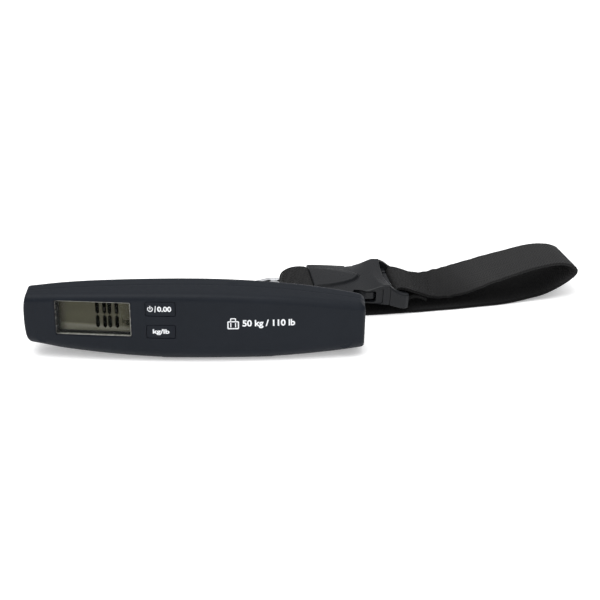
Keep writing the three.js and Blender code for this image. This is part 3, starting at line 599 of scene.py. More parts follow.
def fit_width(o, x0, x1, zc, height=None):
    v = np.array([q.co for q in o.data.vertices], float).reshape(-1, 3)
    lo, hi = v.min(0), v.max(0)
    sx = (x1 - x0) / (hi[0] - lo[0])
    sz = sx if height is None else height / (hi[2] - lo[2])
    v[:, 0] = (v[:, 0] - (lo[0] + hi[0]) / 2) * sx + (x0 + x1) / 2
    v[:, 2] = (v[:, 2] - (lo[2] + hi[2]) / 2) * sz + zc
    o.data.vertices.foreach_set("co", v.ravel())
    return o


def merge_objs(name, objs):
    bm = bmesh.new()
    for o in objs:
        bm.from_mesh(o.data)
        me = o.data
        bpy.data.objects.remove(o); bpy.data.meshes.remove(me)
    me = bpy.data.meshes.new(name)
    bm.to_mesh(me); bm.free()
    o = bpy.data.objects.new(name, me)
    bpy.context.scene.collection.objects.link(o)
    return o


def lay_on(o, surf, lift=0.02):
    """moves a flat mark in design mm, drawn near y = 0, onto the surface y = surf(x, z), then into the frame"""
    v = np.array([q.co for q in o.data.vertices], float).reshape(-1, 3)
    v[:, 1] += surf(v[:, 0], v[:, 2]) - lift
    o.data.vertices.foreach_set("co", to_frame(v).ravel())
    return clean(o, dist=1e-7)


def arc_band(cx, cz, r0, r1, a0, a1, n=28):
    """ring segment in (x, z), degrees"""
    A = [(cx + r1 * math.cos(a * DEG), cz + r1 * math.sin(a * DEG)) for a in np.linspace(a0, a1, n)]
    B = [(cx + r0 * math.cos(a * DEG), cz + r0 * math.sin(a * DEG)) for a in np.linspace(a1, a0, n)]
    return A + B


def bar(x0, x1, z0, z1): return [(x0, z0), (x1, z0), (x1, z1), (x0, z1)]


case_face = lambda x, z: front_y(x)
# plain suitcase sign and the capacity in figures
sx, sz = 17.7, 19.3
sign = flat_mesh("sign", [
    (rbox_outline(sx - 2.65, sx + 2.65, sz - 2.5, sz + 1.55, 0.6, 4), rbox_outline(sx - 2.1, sx + 2.1, sz - 1.95, sz + 1.0, 0.25, 3)),
    [(sx - 1.35, sz + 1.75), (sx - 1.35, sz + 2.7), (sx - 1.0, sz + 3.05), (sx + 1.0, sz + 3.05), (sx + 1.35, sz + 2.7), (sx + 1.35, sz + 1.75),
     (sx + 0.85, sz + 1.75), (sx + 0.85, sz + 2.45), (sx + 0.7, sz + 2.58), (sx - 0.7, sz + 2.58), (sx - 0.85, sz + 2.45), (sx - 0.85, sz + 1.75)],
    bar(sx - 1.3, sx - 0.85, sz - 1.6, sz + 0.65), bar(sx + 0.85, sx + 1.3, sz - 1.6, sz + 0.65)])
cap_text = fit_width(text_mesh("cap", "50 kg / 110 lb", 4.0, bold=0.125), 21.9, 45.8, 19.2)
mark = merge_objs("capacity_mark", [sign, cap_text])
lay_on(mark, case_face)
place(mark, "case", ink)

zx, zz = -19.7, 26.9
p_icon = flat_mesh("p", [arc_band(zx, zz, 0.92, 1.32, -235, 55, 30), bar(zx - 0.2, zx + 0.2, zz - 0.1, zz + 1.6)])
p_slash = flat_mesh("s", [[(-17.75, 25.3), (-17.4, 25.3), (-17.05, 28.5), (-17.4, 28.5)]])
p_text = fit_width(text_mesh("z", "0.00", 3.2, bold=0.10), -16.5, -10.1, 26.9, 2.6)
zero_mark = merge_objs("zero_key_mark", [p_icon, p_slash, p_text])
lay_on(zero_mark, lambda x, z: front_y(x) + 0.05)
place(zero_mark, "zero_key", ink)
u_text = fit_width(text_mesh("u", "kg/lb", 3.2, bold=0.10), -18.9, -11.3, 15.3, 3.0)
lay_on(u_text, lambda x, z: front_y(x) + 0.05)
u_text.name = "unit_key_mark"
place(u_text, "unit_key", ink)


# -------------------------------------------------------------------- display
def clear_mat():
    k = NodeMat("clear_window")
    n1 = k.noise(900, 2, 0.5)
    lw = k.n("ShaderNodeFresnel"); lw.inputs[0].default_value = 1.42
    tr = k.n("ShaderNodeBsdfTransparent"); tr.inputs[0].default_value = (0.93, 0.94, 0.92, 1)
    gl = k.n("ShaderNodeBsdfGlossy"); gl.inputs["Color"].default_value = (0.9, 0.92, 0.93, 1)
    k.l(k.span(n1, 0.3, 0.7, 0.03, 0.09), gl.inputs["Roughness"])
    k.l(k.bump(n1, 0.05, 0.00002), gl.inputs["Normal"])
    mx = k.n("ShaderNodeMixShader")
    k.l(k.math("MULTIPLY", lw.outputs[0], 0.09), mx.inputs[0]); k.l(tr.outputs[0], mx.inputs[1]); k.l(gl.outputs[0], mx.inputs[2])
    k.l(mx.outputs[0], k.out.inputs["Surface"])
    return k.m


def rim_mat():
    k = NodeMat("clear_window_edge_painted_light")
    n1 = k.noise(700, 3, 0.6)
    # pale grey edge colour: a painted highlight standing for light caught on the window's bevel
    c = k.mix(k.span(n1, 0.3, 0.7), (0.19, 0.19, 0.175), (0.34, 0.34, 0.315))
    co = k.n("ShaderNodeSeparateXYZ"); k.l(k.coord(), co.inputs[0])
    # painted shade: the left end of the edge darkened by position
    c = k.mix(k.span(co.outputs[0], -0.0630, -0.0610, 0.85, 0), c, (0.020, 0.020, 0.020))
    return k.set(base=c, rough=k.span(n1, 0.3, 0.7, 0.18, 0.34), spec=0.6, normal=k.bump(n1, 0.15, 0.00003))


def lcd_mat():
    k = NodeMat("lcd_reflective_glass")
    co = k.n("ShaderNodeSeparateXYZ"); k.l(k.coord(), co.inputs[0])
    x, z = co.outputs[0], co.outputs[2]
    n1 = k.noise(240, 3, 0.5)
    n2 = k.noise(5200, 1, 0.5)
    base = k.mix(k.span(n1, 0.3, 0.7), (0.060, 0.054, 0.036), (0.074, 0.067, 0.046))
    # paler foot of the panel: a painted reflection band across its lower part
    line = k.math("ADD", z, k.math("MULTIPLY", k.math("ADD", x, 0.046), 0.045))
    painted_reflection_band = k.span(line, 0.0158, 0.0172, 1, 0)
    base = k.mix(k.math("MULTIPLY", painted_reflection_band, 0.8), base, (0.205, 0.196, 0.166))
    # painted shadow: the left strip of the panel darkened, as if shaded by the window's left wall
    painted_shadow_left = k.span(x, -0.0625, -0.0582, 1, 0)
    base = k.mix(k.math("MULTIPLY", painted_shadow_left, 0.9), base, (0.006, 0.006, 0.005))
    base = k.mix(k.span(n2, 0.4, 0.7, 0, 0.10), base, (0.10, 0.094, 0.07))
    return k.set(base=base, rough=k.span(n1, 0.3, 0.7, 0.34, 0.46), spec=0.15, normal=k.bump(n2, 0.08, 0.00002))


def seg_mat():
    k = NodeMat("lcd_segment")
    n1 = k.noise(1500, 2, 0.5)
    c = k.mix(k.span(n1, 0.3, 0.7), (0.0004, 0.0005, 0.0004), (0.0010, 0.0011, 0.0009))
    return k.set(base=c, rough=k.span(n1, 0.3, 0.7, 0.45, 0.6), spec=0.0, normal=k.bump(n1, 0.1, 0.00001))


bezel_mat = moulded("bezel_black", (0.006, 0.006, 0.007), (0.012, 0.012, 0.013), (0.45, 0.6), grain=2200, bump=0.2, spec=0.3, edge=0.1)
lens_clear, lens_edge_painted_light, lcd_paint, segment = clear_mat(), rim_mat(), lcd_mat(), seg_mat()


def disp(outlines, name="d"):
    V, F = prism_y(outlines)
    return clean(raw_obj(name, xform(V, DISPLAY), F))


lens = disp([(0.80, frame_o(-0.62, 1.0)), (0.72, frame_o(-0.66, 1.0)), (0.66, frame_o(-0.80, 1.0)), (0.66, frame_o(-0.90, 1.0))][::-1] +
            [(1.55, frame_o(-0.62, 1.0))], "window_pane")
place(lens, "case", lens_clear, ["display_lens"], angle=40)
# edge of the window: a thin polished frame, painted pale as a highlight and dark at its left end as shade, and the
# dark flange behind it
def fo(g, l=0.0): return rbox_outline(-win_w / 2 + g + l, win_w / 2 - g, -win_h / 2 + g, win_h / 2 - g, max(0.25, 1.0 - g), 5)
def flg(g): return rbox_outline(-win_w / 2 - 1.2 + g, win_w / 2 + 1.2 - g, -win_h / 2 - 1.1 + g, 8.85 - g, 0.8, 5)


def ring_obj(name, rows):
    K, n = len(rows), len(rows[0][1])
    V = np.array([[(x, y, z) for x, z in o] for y, o in rows], float).reshape(-1, 3)
    F = [tuple(f) for f in grid(K, n, loop_j=True, loop_k=True)]
    return clean(raw_obj(name, xform(V, DISPLAY), F))


edge = ring_obj("window_edge", [(0.66, fo(0.52)), (0.52, fo(0.48)), (0.46, fo(0.40)), (0.46, fo(0.30)), (0.56, fo(0.22)), (1.50, fo(0.22)), (1.50, fo(0.52))])
place(edge, "case", lens_edge_painted_light, angle=30)
flange = ring_obj("window_flange", [(1.62, fo(0.60)), (1.62, fo(0.22)), (1.64, flg(0.0)), (2.30, flg(0.0)), (2.36, flg(0.15)), (2.36, fo(0.60))])
place(flange, "case", bezel_mat, angle=30)

# black mask between window and glass
def mo_(x0, x1, z0, z1, r): return rbox_outline(x0, x1, z0, z1, r, 3)
mi = mo_(-16.1, 16.75, -7.6, 8.1, 0.4)
mo = mo_(-18.6, 18.6, -9.8, 8.8, 0.6)
rows = [(2.78, mo), (2.72, mo_(-18.5, 18.5, -9.7, 8.7, 0.6)), (2.72, mo_(-16.3, 16.95, -7.8, 8.3, 0.5)), (2.95, mi), (3.50, mi), (3.50, mo)]
mask = ring_obj("display_mask", rows)
place(mask, "case", bezel_mat, ["display_bezel"], angle=30)

def go(g, r=0.4): return rbox_outline(-18.25 + g, 18.25 - g, -9.25 + g, 8.85 - g, r, 3)
glass = disp([(3.68, go(0.30)), (3.70, go(0.20)), (3.80, go(0)), (5.30, go(0)), (5.38, go(0.1))], "lcd")
place(glass, "case", lcd_paint, ["lcd_panel"], angle=35)


def seg_shape(x, z0, z1, w):
    h = w * 0.5
    return [(x - h, z0 + h), (x, z0), (x + h, z0 + h), (x + h, z1 - h), (x, z1), (x - h, z1 - h)]


polys = []
for gx in (-44.6, -41.3, -38.95, -35.65):
    polys.append(seg_shape(gx - win_x, 21.9 - win_z, 28.6 - win_z, 1.74))
    polys.append(seg_shape(gx - win_x, 15.0 - win_z, 21.6 - win_z, 1.74))
segs = flat_mesh("seg", polys, thick=0.02)
kgt = fit_width(text_mesh("kg", "kg", 3, bold=0.02, thick=0.02), -33.2 - win_x, -30.1 - win_x, 18.4 - win_z, 3.2)
segs = merge_objs("lcd_segments", [segs, kgt])
v = np.array([q.co for q in segs.data.vertices], float).reshape(-1, 3)
v[:, 1] += 3.64
segs.data.vertices.foreach_set("co", to_frame(xform(v, DISPLAY)).ravel())
clean(segs, dist=1e-7)
place(segs, "case", segment)

# --------------------------------------------------------------- battery door
def door_mesh():
    xs = np.unique(np.concatenate([DOOR["x0"] + np.array([0, .06, .15, .3, .5, .8, 1.2]), np.linspace(DOOR["x0"] + 1.6, DOOR["x1"] - 1.6, 90), DOOR["x1"] - np.array([0, .06, .15, .3, .5, .8, 1.2])]))
    zs = np.unique(np.concatenate([DOOR["z0"] + np.array([0, .06, .15, .3, .5, .8, 1.2]), np.linspace(DOOR["z0"] + 1.6, DOOR["z1"] - 1.6, 70), DOOR["z1"] - np.array([0, .06, .15, .3, .5, .8, 1.2])]))
    X, Z = np.meshgrid(xs, zs, indexing="ij")
    e = np.minimum.reduce([X - DOOR["x0"], DOOR["x1"] - X, Z - DOOR["z0"], DOOR["z1"] - Z])
    # rounded corners: pull the corner points in
    r = 1.4
    cx = np.clip(X, DOOR["x0"] + r, DOOR["x1"] - r); cz = np.clip(Z, DOOR["z0"] + r, DOOR["z1"] - r)
    dx, dz = X - cx, Z - cz
    m = np.maximum(np.abs(dx), np.abs(dz)); L = np.hypot(dx, dz)
    f = np.where((dx != 0) & (dz != 0), m / np.maximum(L, 1e-9), 1.0)
    X2, Z2 = cx + dx * f, cz + dz * f
    rr = 0.35
    drop = np.where(e < rr, rr - np.sqrt(np.maximum(0, rr * rr - (rr - np.minimum(e, rr)) ** 2)), 0)
    tz = np.vectorize(top_z)(X); lz = np.vectorize(low_z)(X)
    dz = np.maximum(0, Z - (tz - R_B)) + np.maximum(0, (lz + R_B) - Z)
    Y = back_y(X) - 0.02 - drop - (R_B - np.sqrt(np.maximum(0, R_B * R_B - dz * dz)))
    for i in range(5):       # finger ribs at the free end
        c = DOOR["x1"] - 2.6 - 1.35 * i
        hh = 0.5 * (1 - np.tanh((np.abs(Z - DOOR_ZC) - 6.2) / 0.25))
        Y += 0.30 * np.exp(-((X - c) / 0.36) ** 4) * hh
    # shallow dished thumb spot
    Y -= 0.35 * np.exp(-(((X + 50) / 7.0) ** 2 + ((Z - DOOR_ZC) / 6.5) ** 2) ** 2)
    K, n = X.shape
    top = np.stack([X2, Y, Z2], -1).reshape(-1, 3)
    bot = np.stack([X2, np.full_like(Y, BACK_Y - DOOR["t"]), Z2], -1).reshape(-1, 3)
    V = np.vstack([top, bot]); N = K * n
    F = [tuple(f) for f in grid(K, n)] + [tuple(int(i) + N for i in f[::-1]) for f in grid(K, n)]
    loop = [(k, 0) for k in range(K)] + [(K - 1, j) for j in range(1, n)] + [(k, n - 1) for k in range(K - 2, -1, -1)] + [(0, j) for j in range(n - 2, 0, -1)]
    ids = [k * n + j for k, j in loop]
    for i in range(len(ids)):
        a, b = ids[i], ids[(i + 1) % len(ids)]
        F.append((a, b, b + N, a + N))
    return clean(raw_obj("battery_cover", V, F))


place(door_mesh(), "door", plastic_case, ["battery_door"], angle=40)


# ------------------------------------------------------------- screws (cross)
def screw(name, M, head_r, head_h, shank_r, length, body, mat, replaces):
    """head outward along -Z of its own frame, in mm design coordinates through M"""
    prof = [(0, -head_h), (head_r * 0.45, -head_h * 0.98), (head_r * 0.78, -head_h * 0.84), (head_r * 0.95, -head_h * 0.55), (head_r, -head_h * 0.2), (head_r, 0), (shank_r, 0)]
    z = 0.3
    while z < length - 0.8:      # rolled thread
        prof += [(shank_r * 0.82, z), (shank_r, z + 0.25), (shank_r * 0.82, z + 0.5)]
        z += 0.7
    prof += [(shank_r * 0.35, length), (0, length)]
    V, F = lathe(prof, 36)
    o = clean(raw_obj(name, xform(V, M), F))
    w, d = head_r * 0.13, head_h * 0.62
    cuts = []
    for sx_, sy_ in ((head_r * 0.56, w), (w, head_r * 0.56)):
        def c(s): return [(-sx_ * s, -sy_ * s), (sx_ * s, -sy_ * s), (sx_ * s, sy_ * s), (-sx_ * s, sy_ * s)]
        cuts.append(cutter([(-head_h * 1.3, c(1.15)), (-head_h * 0.98, c(1.05)), (-head_h + d, c(0.72))], M, y=False))
    o = boolean(o, cuts)
    o.name = name
    place(o, body, mat, replaces, angle=35)


for i, (x, z) in enumerate(BOSS):
    M = Matrix.Translation((x, 17.4, z)) @ Matrix.Rotation(PI / 2, 4, "X") @ Matrix.Rotation(0.4 + 1.1 * i, 4, "Z")
    screw("case_screw_%s" % "abcd"[i], M, 2.5, 1.6, 1.1, 9.5, "case", screw_zinc, ["case_screw_%d" % (i + 1)])
screw("lug_fixing_screw", Matrix.Translation((0, 19.2, LUG_Z)) @ Matrix.Rotation(PI / 2, 4, "X"), 2.5, 1.55, 1.15, 6.2, "case", screw_zinc, ["lug_screw"])

# --------------------------------------------------- lug, pin, link and D-ring
foot = cutter([(16.92, rbox_outline(-5, 5, LUG_Z - 5.5, LUG_Z + 5.5, 0.8, 3)), (18.88, rbox_outline(-5, 5, LUG_Z - 5.5, LUG_Z + 5.5, 0.8, 3))])
ol = [(5.0, 18.0)] + [(5 * math.cos(a), EYE[1] + 5 * math.sin(a)) for a in np.linspace(0, PI, 40)] + [(-5.0, 18.0)]
def ins(e): return [(x * (1 - e / 5.0), y - (e * 0.9 if y > EYE[1] + 2 else 0)) for x, y in ol]
plate = cutter([(LUG_Z - 2.0, ins(0.35)), (LUG_Z - 1.9, ins(0.1)), (LUG_Z - 1.65, ins(0)), (LUG_Z + 1.65, ins(0)), (LUG_Z + 1.9, ins(0.1)), (LUG_Z + 2.0, ins(0.35))], y=False)
lug = boolean(foot, [plate], "UNION")
V, F = lathe([(0, -3), (2.3, -3), (2.1, -2.0), (1.78, -1.7), (1.78, 1.7), (2.1, 2.0), (2.3, 3), (0, 3)], 48)
c1 = clean(raw_obj("cut", V + np.array([EYE[0], EYE[1], LUG_Z]), F))
V, F = lathe([(0, -15), (1.5, -15), (1.5, -18.9), (2.85, -18.9), (2.85, -22.2), (0, -22.2)], 32, "y")
c2 = clean(raw_obj("cut", V + np.array([0, 0, LUG_Z]), F))
lug = boolean(lug, [c1, c2])
lug.name = "load_lug_plate"
place(lug, "case", steel_plate, ["load_lug"], angle=32)

ph = LINK_HALF + LINK_ROD / 2
prof = rounded_profile([(0, -ph - 1.5), (2.6, -ph - 1.5), (2.6, -ph - 0.3), (1.7, -ph - 0.3), (1.7, ph + 0.3), (2.6, ph + 0.3), (2.6, ph + 1.5), (0, ph + 1.5)], 0.45, 3)
V, F = lathe(prof, 48)
pin = clean(raw_obj("hinge_pin", V + np.array([EYE[0], EYE[1], LUG_Z]), F))
place(pin, "case", steel, ["link_pin"], angle=35)

ang = math.atan2(CROSS[1] - EYE[1], CROSS[0] - EYE[0])
ll = math.hypot(CROSS[1] - EYE[1], CROSS[0] - EYE[0])
LINK = Matrix.Translation((EYE[0], EYE[1], LUG_Z)) @ Matrix.Rotation(ang, 4, "Z")
Rb = 3.0
path = [(2.2 + (ll - Rb - 2.2) * t, LINK_HALF, 90.0) for t in np.linspace(0, 1, 12)]
path += [(ll - Rb + Rb * math.cos(a * DEG), LINK_HALF - Rb + Rb * math.sin(a * DEG), a) for a in np.linspace(90, 0, 12)[1:]]
path += [(ll - Rb + Rb * math.cos(a * DEG), -LINK_HALF + Rb + Rb * math.sin(a * DEG), a) for a in np.linspace(0, -90, 12)]
path += [(2.2 + (ll - Rb - 2.2) * t, -LINK_HALF, -90.0) for t in np.linspace(1, 0, 12)[1:]]
rings = []
for x, z, a in path:
    nx, nz = math.cos(a * DEG), math.sin(a * DEG)
    r = LINK_ROD / 2 * (1 - 0.10 * math.exp(-((x - 3.4) / 1.2) ** 2))
    rings.append([(x + nx * r * math.cos(t), r * math.sin(t), z + nz * r * math.cos(t)) for t in np.linspace(0, 2 * PI, 25)[:-1]])
V, F = tube_rings(rings)
bow = clean(raw_obj("swing_bow", xform(V, LINK), F))
eyes = []
for s in (1, -1):
    h = LINK_ROD / 2
    prof = [(1.80, -h + 0.3), (2.1, -h), (3.4, -h), (3.85, -h + 0.25), (4.0, -h + 0.7), (4.0, h - 0.7), (3.85, h - 0.25), (3.4, h), (2.1, h), (1.80, h - 0.3)]
    V, F = lathe(prof, 48)
    eyes.append(clean(raw_obj("eye", xform(V + np.array([0, 0, s * LINK_HALF]), LINK), F)))
bow = boolean(bow, eyes, "UNION")
bow.name = "swing_bow"
place(bow, "link", steel, ["swing_link"], angle=40)


def along(a, q=0.0): return (BUCKLE["x"] + a * CY - q * SY, BUCKLE["y"] + a * SY + q * CY)


rb = along(RING["a"])
RM = Matrix.Translation((rb[0], rb[1], RING["z"] - 0.7)) @ Matrix.Rotation(BUCKLE["yaw"], 4, "Z") @ Matrix.Rotation(RING["slope"] - 2.6 * DEG, 4, "Y")
H, NOSE, BEND = 14.1, 5.2, 4.0
tipx, bx = -RING["leg"] - RING["half"] + NOSE, -7.6
_dx, _dy = bx - tipx, H - BEND
an = math.atan2(_dy, _dx) / DEG + math.acos((NOSE - BEND) / math.hypot(_dx, _dy)) / DEG
pa = (bx + BEND * math.cos(an * DEG), H - BEND + BEND * math.sin(an * DEG))
pb = (tipx + NOSE * math.cos(an * DEG), NOSE * math.sin(an * DEG))
c = [(0, t * (H - 2), 0) for t in np.linspace(0, 1, 9)]
c += [(-2 + 2 * math.cos(a * DEG), H - 2 + 2 * math.sin(a * DEG), a) for a in np.linspace(0, 90, 9)[1:]]
c += [(-2 + t * (bx + 2), H, 90) for t in np.linspace(0, 1, 5)[1:]]
c += [(bx + BEND * math.cos(a * DEG), H - BEND + BEND * math.sin(a * DEG), a) for a in np.linspace(90, an, 6)[1:]]
c += [(pa[0] + t * (pb[0] - pa[0]), pa[1] + t * (pb[1] - pa[1]), an) for t in np.linspace(0, 1, 9)[1:]]
c += [(tipx + NOSE * math.cos(a * DEG), NOSE * math.sin(a * DEG), a) for a in np.linspace(an, 180, 22)[1:]]
c += [(x, -y, 360 - a) for x, y, a in c[-2:0:-1]]
rings = []
for i, (x, y, a) in enumerate(c):
    weld = 0.16 * math.exp(-((y - 9.5) / 0.7) ** 2) if abs(x) < 0.3 else 0.0      # butt weld in the straight side
    r = 1.25 * (1 + weld)
    rings.append([(x + math.cos(a * DEG) * r * math.cos(t), y + math.sin(a * DEG) * r * math.cos(t), r * math.sin(t)) for t in np.linspace(0, 2 * PI, 25)[:-1]])
V, F = tube_rings(rings, loop_k=True, cap=False)
dring = clean(raw_obj("webbing_ring", xform(V, RM), F))
place(dring, "ring", steel, ["d_ring"], angle=40)

# ---------------------------------------------------------------- webbing strap
YAW = [(0, 8), (100, 8), (110, 9.5), (140, 9.5), (152, 12), (186, 14.5), (200, 14.5)]
_yx = np.linspace(100, 200, 401)
_yw = np.interp(_yx, [a for a, _ in YAW], [b for _, b in YAW])
_yy = BUCKLE["y"] + (100 - BUCKLE["x"]) * math.tan(8 * DEG) + np.concatenate([[0], np.cumsum(np.tan(0.5 * (_yw[1:] + _yw[:-1]) * DEG) * np.diff(_yx))])


def plan_y(x):
    return BUCKLE["y"] + (x - BUCKLE["x"]) * math.tan(8 * DEG) if x <= 100 else float(np.interp(x, _yx, _yy))


def centripetal(P, per=24):
    P = np.array(P, float)
    P = np.vstack([2 * P[0] - P[1], P, 2 * P[-1] - P[-2]])
    out = []
    for i in range(1, len(P) - 2):
        p0, p1, p2, p3 = P[i - 1], P[i], P[i + 1], P[i + 2]
        t0 = 0.0; t1 = t0 + np.linalg.norm(p1 - p0) ** 0.5; t2 = t1 + np.linalg.norm(p2 - p1) ** 0.5; t3 = t2 + np.linalg.norm(p3 - p2) ** 0.5
        for t in np.linspace(t1, t2, per, endpoint=False):
            a1 = (t1 - t) / (t1 - t0) * p0 + (t - t0) / (t1 - t0) * p1
            a2 = (t2 - t) / (t2 - t1) * p1 + (t - t1) / (t2 - t1) * p2
            a3 = (t3 - t) / (t3 - t2) * p2 + (t - t2) / (t3 - t2) * p3
            b1 = (t2 - t) / (t2 - t0) * a1 + (t - t0) / (t2 - t0) * a2
            b2 = (t3 - t) / (t3 - t1) * a2 + (t - t1) / (t3 - t1) * a3
            out.append((t2 - t) / (t2 - t1) * b1 + (t - t1) / (t2 - t1) * b2)
    out.append(P[-2])
    return np.array(out)


def resample(P, step):
    d = np.concatenate([[0], np.cumsum(np.linalg.norm(np.diff(P, axis=0), axis=1))])
    n = max(8, int(round(d[-1] / step)))
    s = np.linspace(0, d[-1], n + 1)
    return np.column_stack([np.interp(s, d, P[:, k]) for k in range(P.shape[1])]), s


A = lambda a: BUCKLE["x"] + a * CY
LOWER = [(A(-25.6), 11.3), (A(-23.6), 9.4), (A(-21.4), 8.0), (A(-19.7), 8.5), (A(-18.9), 10.3), (A(-19.6), 12.1), (A(-21.1), 13.1), (A(-22.7), 14.05), (A(-24.4), 15.0),
         (A(-26.8), 15.4), (A(-29.7), 15.33), (A(-31.9), 14.87), (A(-33.6), 14.2), (A(-35.1), 13.1), (A(-36.05), 11.5), (A(-36.3), 9.0), (A(-35.8), 5.2), (A(-33.8), 2.2), (A(-30.6), 0.95), (A(-26), 0.7),
         (60, 0.7), (80, 0.7), (100, 0.7), (120, 0.7), (138, 0.7), (146, 0.75), (151, 1.0), (158.5, 1.9), (166, 3.35), (173, 6.2), (178.6, 9.7), (181.3, 12.0)]
TIP = (182.05, 13.55)
UPPER = [(181.2, 15.5), (176.8, 17.9), (171.2, 18.8), (163, 18.3), (152, 16.1), (140, 13.2), (129, 9.9), (119, 7.8), (110.5, 7.35),
         (A(31.5), 8.15), (A(28), 9.2), (A(24.2), 10.75), (A(21.2), 11.85), (A(19.3), 12.2), (A(18.2), 11.85), (A(17.6), 10.7), (A(17.7), 9.1), (A(18.8), 7.4), (A(20.8), 6.4), (A(24), 6.6), (A(26.6), 7.65), (A(29), 7.5), (A(31), 6.95), (A(32.8), 6.45)]
ROLL = [(0, 0), (0.09, 0), (0.19, 2.6), (0.3, 3.6), (0.45, 8), (0.52, 10.5), (0.6, 9.5), (0.68, 3), (0.73, 0), (0.86, 0), (0.91, 0), (0.94, 2), (1, 7)]


FULL, FULL_S = resample(centripetal(LOWER + [TIP] + UPPER), 0.42)
TIP_I = int(np.argmin(np.hypot(FULL[:, 0] - TIP[0], FULL[:, 1] - TIP[1])))


def ribbon(name, first, last, roll=None, relief=None, across=34):
    """rows first..last of the one continuous strap centreline"""
    cut = slice(first, last + 1)
    s_all = FULL_S[cut]
    s = s_all - s_all[0]
    L = s[-1]
    x, z = FULL[cut, 0], FULL[cut, 1]
    dx, dz = np.gradient(FULL[:, 0])[cut], np.gradient(FULL[:, 1])[cut]
    y = np.array([plan_y(v) for v in x])
    if first == 0:
        y = y - 2.6 * np.interp(x, [50, 66, 118, 140, 160], [0, 1, 1, 0.50, 0]) * (1 - np.clip((z - 1.2) / 2.5, 0, 1))
    th = np.interp(x, [a for a, _ in YAW], [b for _, b in YAW]) * DEG
    T = np.column_stack([dx, dx * np.tan(th), dz]); T /= np.linalg.norm(T, axis=1)[:, None]
    w0 = np.column_stack([-np.sin(th), np.cos(th), 0 * th])
    r = (np.interp(s / L, [a for a, _ in roll], [b for _, b in roll]) if roll else 0 * s) * DEG
    Wd = w0 * np.cos(r)[:, None] + np.array([0, 0, 1.0]) * np.sin(r)[:, None]
    Wd -= T * (Wd * T).sum(1)[:, None]; Wd /= np.linalg.norm(Wd, axis=1)[:, None]
    N = np.cross(T, Wd)
    C = np.column_stack([x, y, z])
    hw, ht = WEB_W / 2, WEB_T / 2
    # section: top run, round edge, bottom run, round edge
    u = np.linspace(-hw + 0.45, hw - 0.45, across)
    er = [(hw - 0.45 + 0.45 * math.sin(a), ht * math.cos(a)) for a in np.linspace(0, PI, 7)[1:-1]]
    sec = [(q, ht, 1.0) for q in u] + [(a, b, 0.4) for a, b in er] + [(q, -ht, 1.0) for q in u[::-1]] + [(-a, -b, 0.4) for a, b in er]
    sec = np.array(sec)
    U, Vt, K = sec[:, 0], sec[:, 1], sec[:, 2]
    S = s[:, None]
    # woven relief: cross ribs, a denser selvedge, a groove line inside each selvedge
    rib = 0.060 * np.sin(2 * PI * s_all[:, None] / 1.68 + 0.9 * np.sign(Vt)[None, :])
    selv = np.clip((np.abs(U) - 10.9) / 0.5, 0, 1)[None, :]
    edge_line = -0.10 * np.exp(-((np.abs(U) - 10.7) / 0.22) ** 2)[None, :]
    h = (rib * (1 - 0.55 * selv) + 0.03 * selv + edge_line) * K[None, :]
    if relief is not None:
        h2 = relief(S, U[None, :], x[:, None])
        push = h2 * np.ones_like(h)
    else:
        push = 0 * h
    off = Vt[None, :] + np.sign(Vt)[None, :] * h * (np.abs(Vt)[None, :] > 0.3) - 0.0
    off = off + push
    wav = 0.10 * np.sin(s_all[:, None] / 7.3 + 1.7) + 0.07 * np.sin(s_all[:, None] / 3.1)
    Uu = U[None, :] * (1 + 0.0 * S) + wav * (U[None, :] / hw)
    V = C[:, None, :] + Wd[:, None, :] * Uu[:, :, None] + N[:, None, :] * off[:, :, None]
    n = len(sec)
    Vf = V.reshape(-1, 3)
    Vf[:, 2] = np.maximum(Vf[:, 2], 0.02)
    F = [tuple(f) for f in grid(len(s), n, loop_j=True)]
    F += [tuple(range(n))[::-1], tuple(range((len(s) - 1) * n, len(s) * n))]
    o = raw_obj(name, Vf, F)
    uv = o.data.uv_layers.new(name="weave")
    li = np.array([l.vertex_index for l in o.data.loops])
    uu = (U[li % n] + 0.0) * MM
    vv = s_all[li // n] * MM
    side = np.where(Vt[li % n] < 0, 0.031, 0.0)
    uv.data.foreach_set("uv", np.column_stack([uu + side, vv]).ravel())
    bm = bmesh.new(); bm.from_mesh(o.data)
    bmesh.ops.recalc_face_normals(bm, faces=bm.faces)
    bm.to_mesh(o.data); bm.free()
    return o, L, (C, T, Wd, N, s)


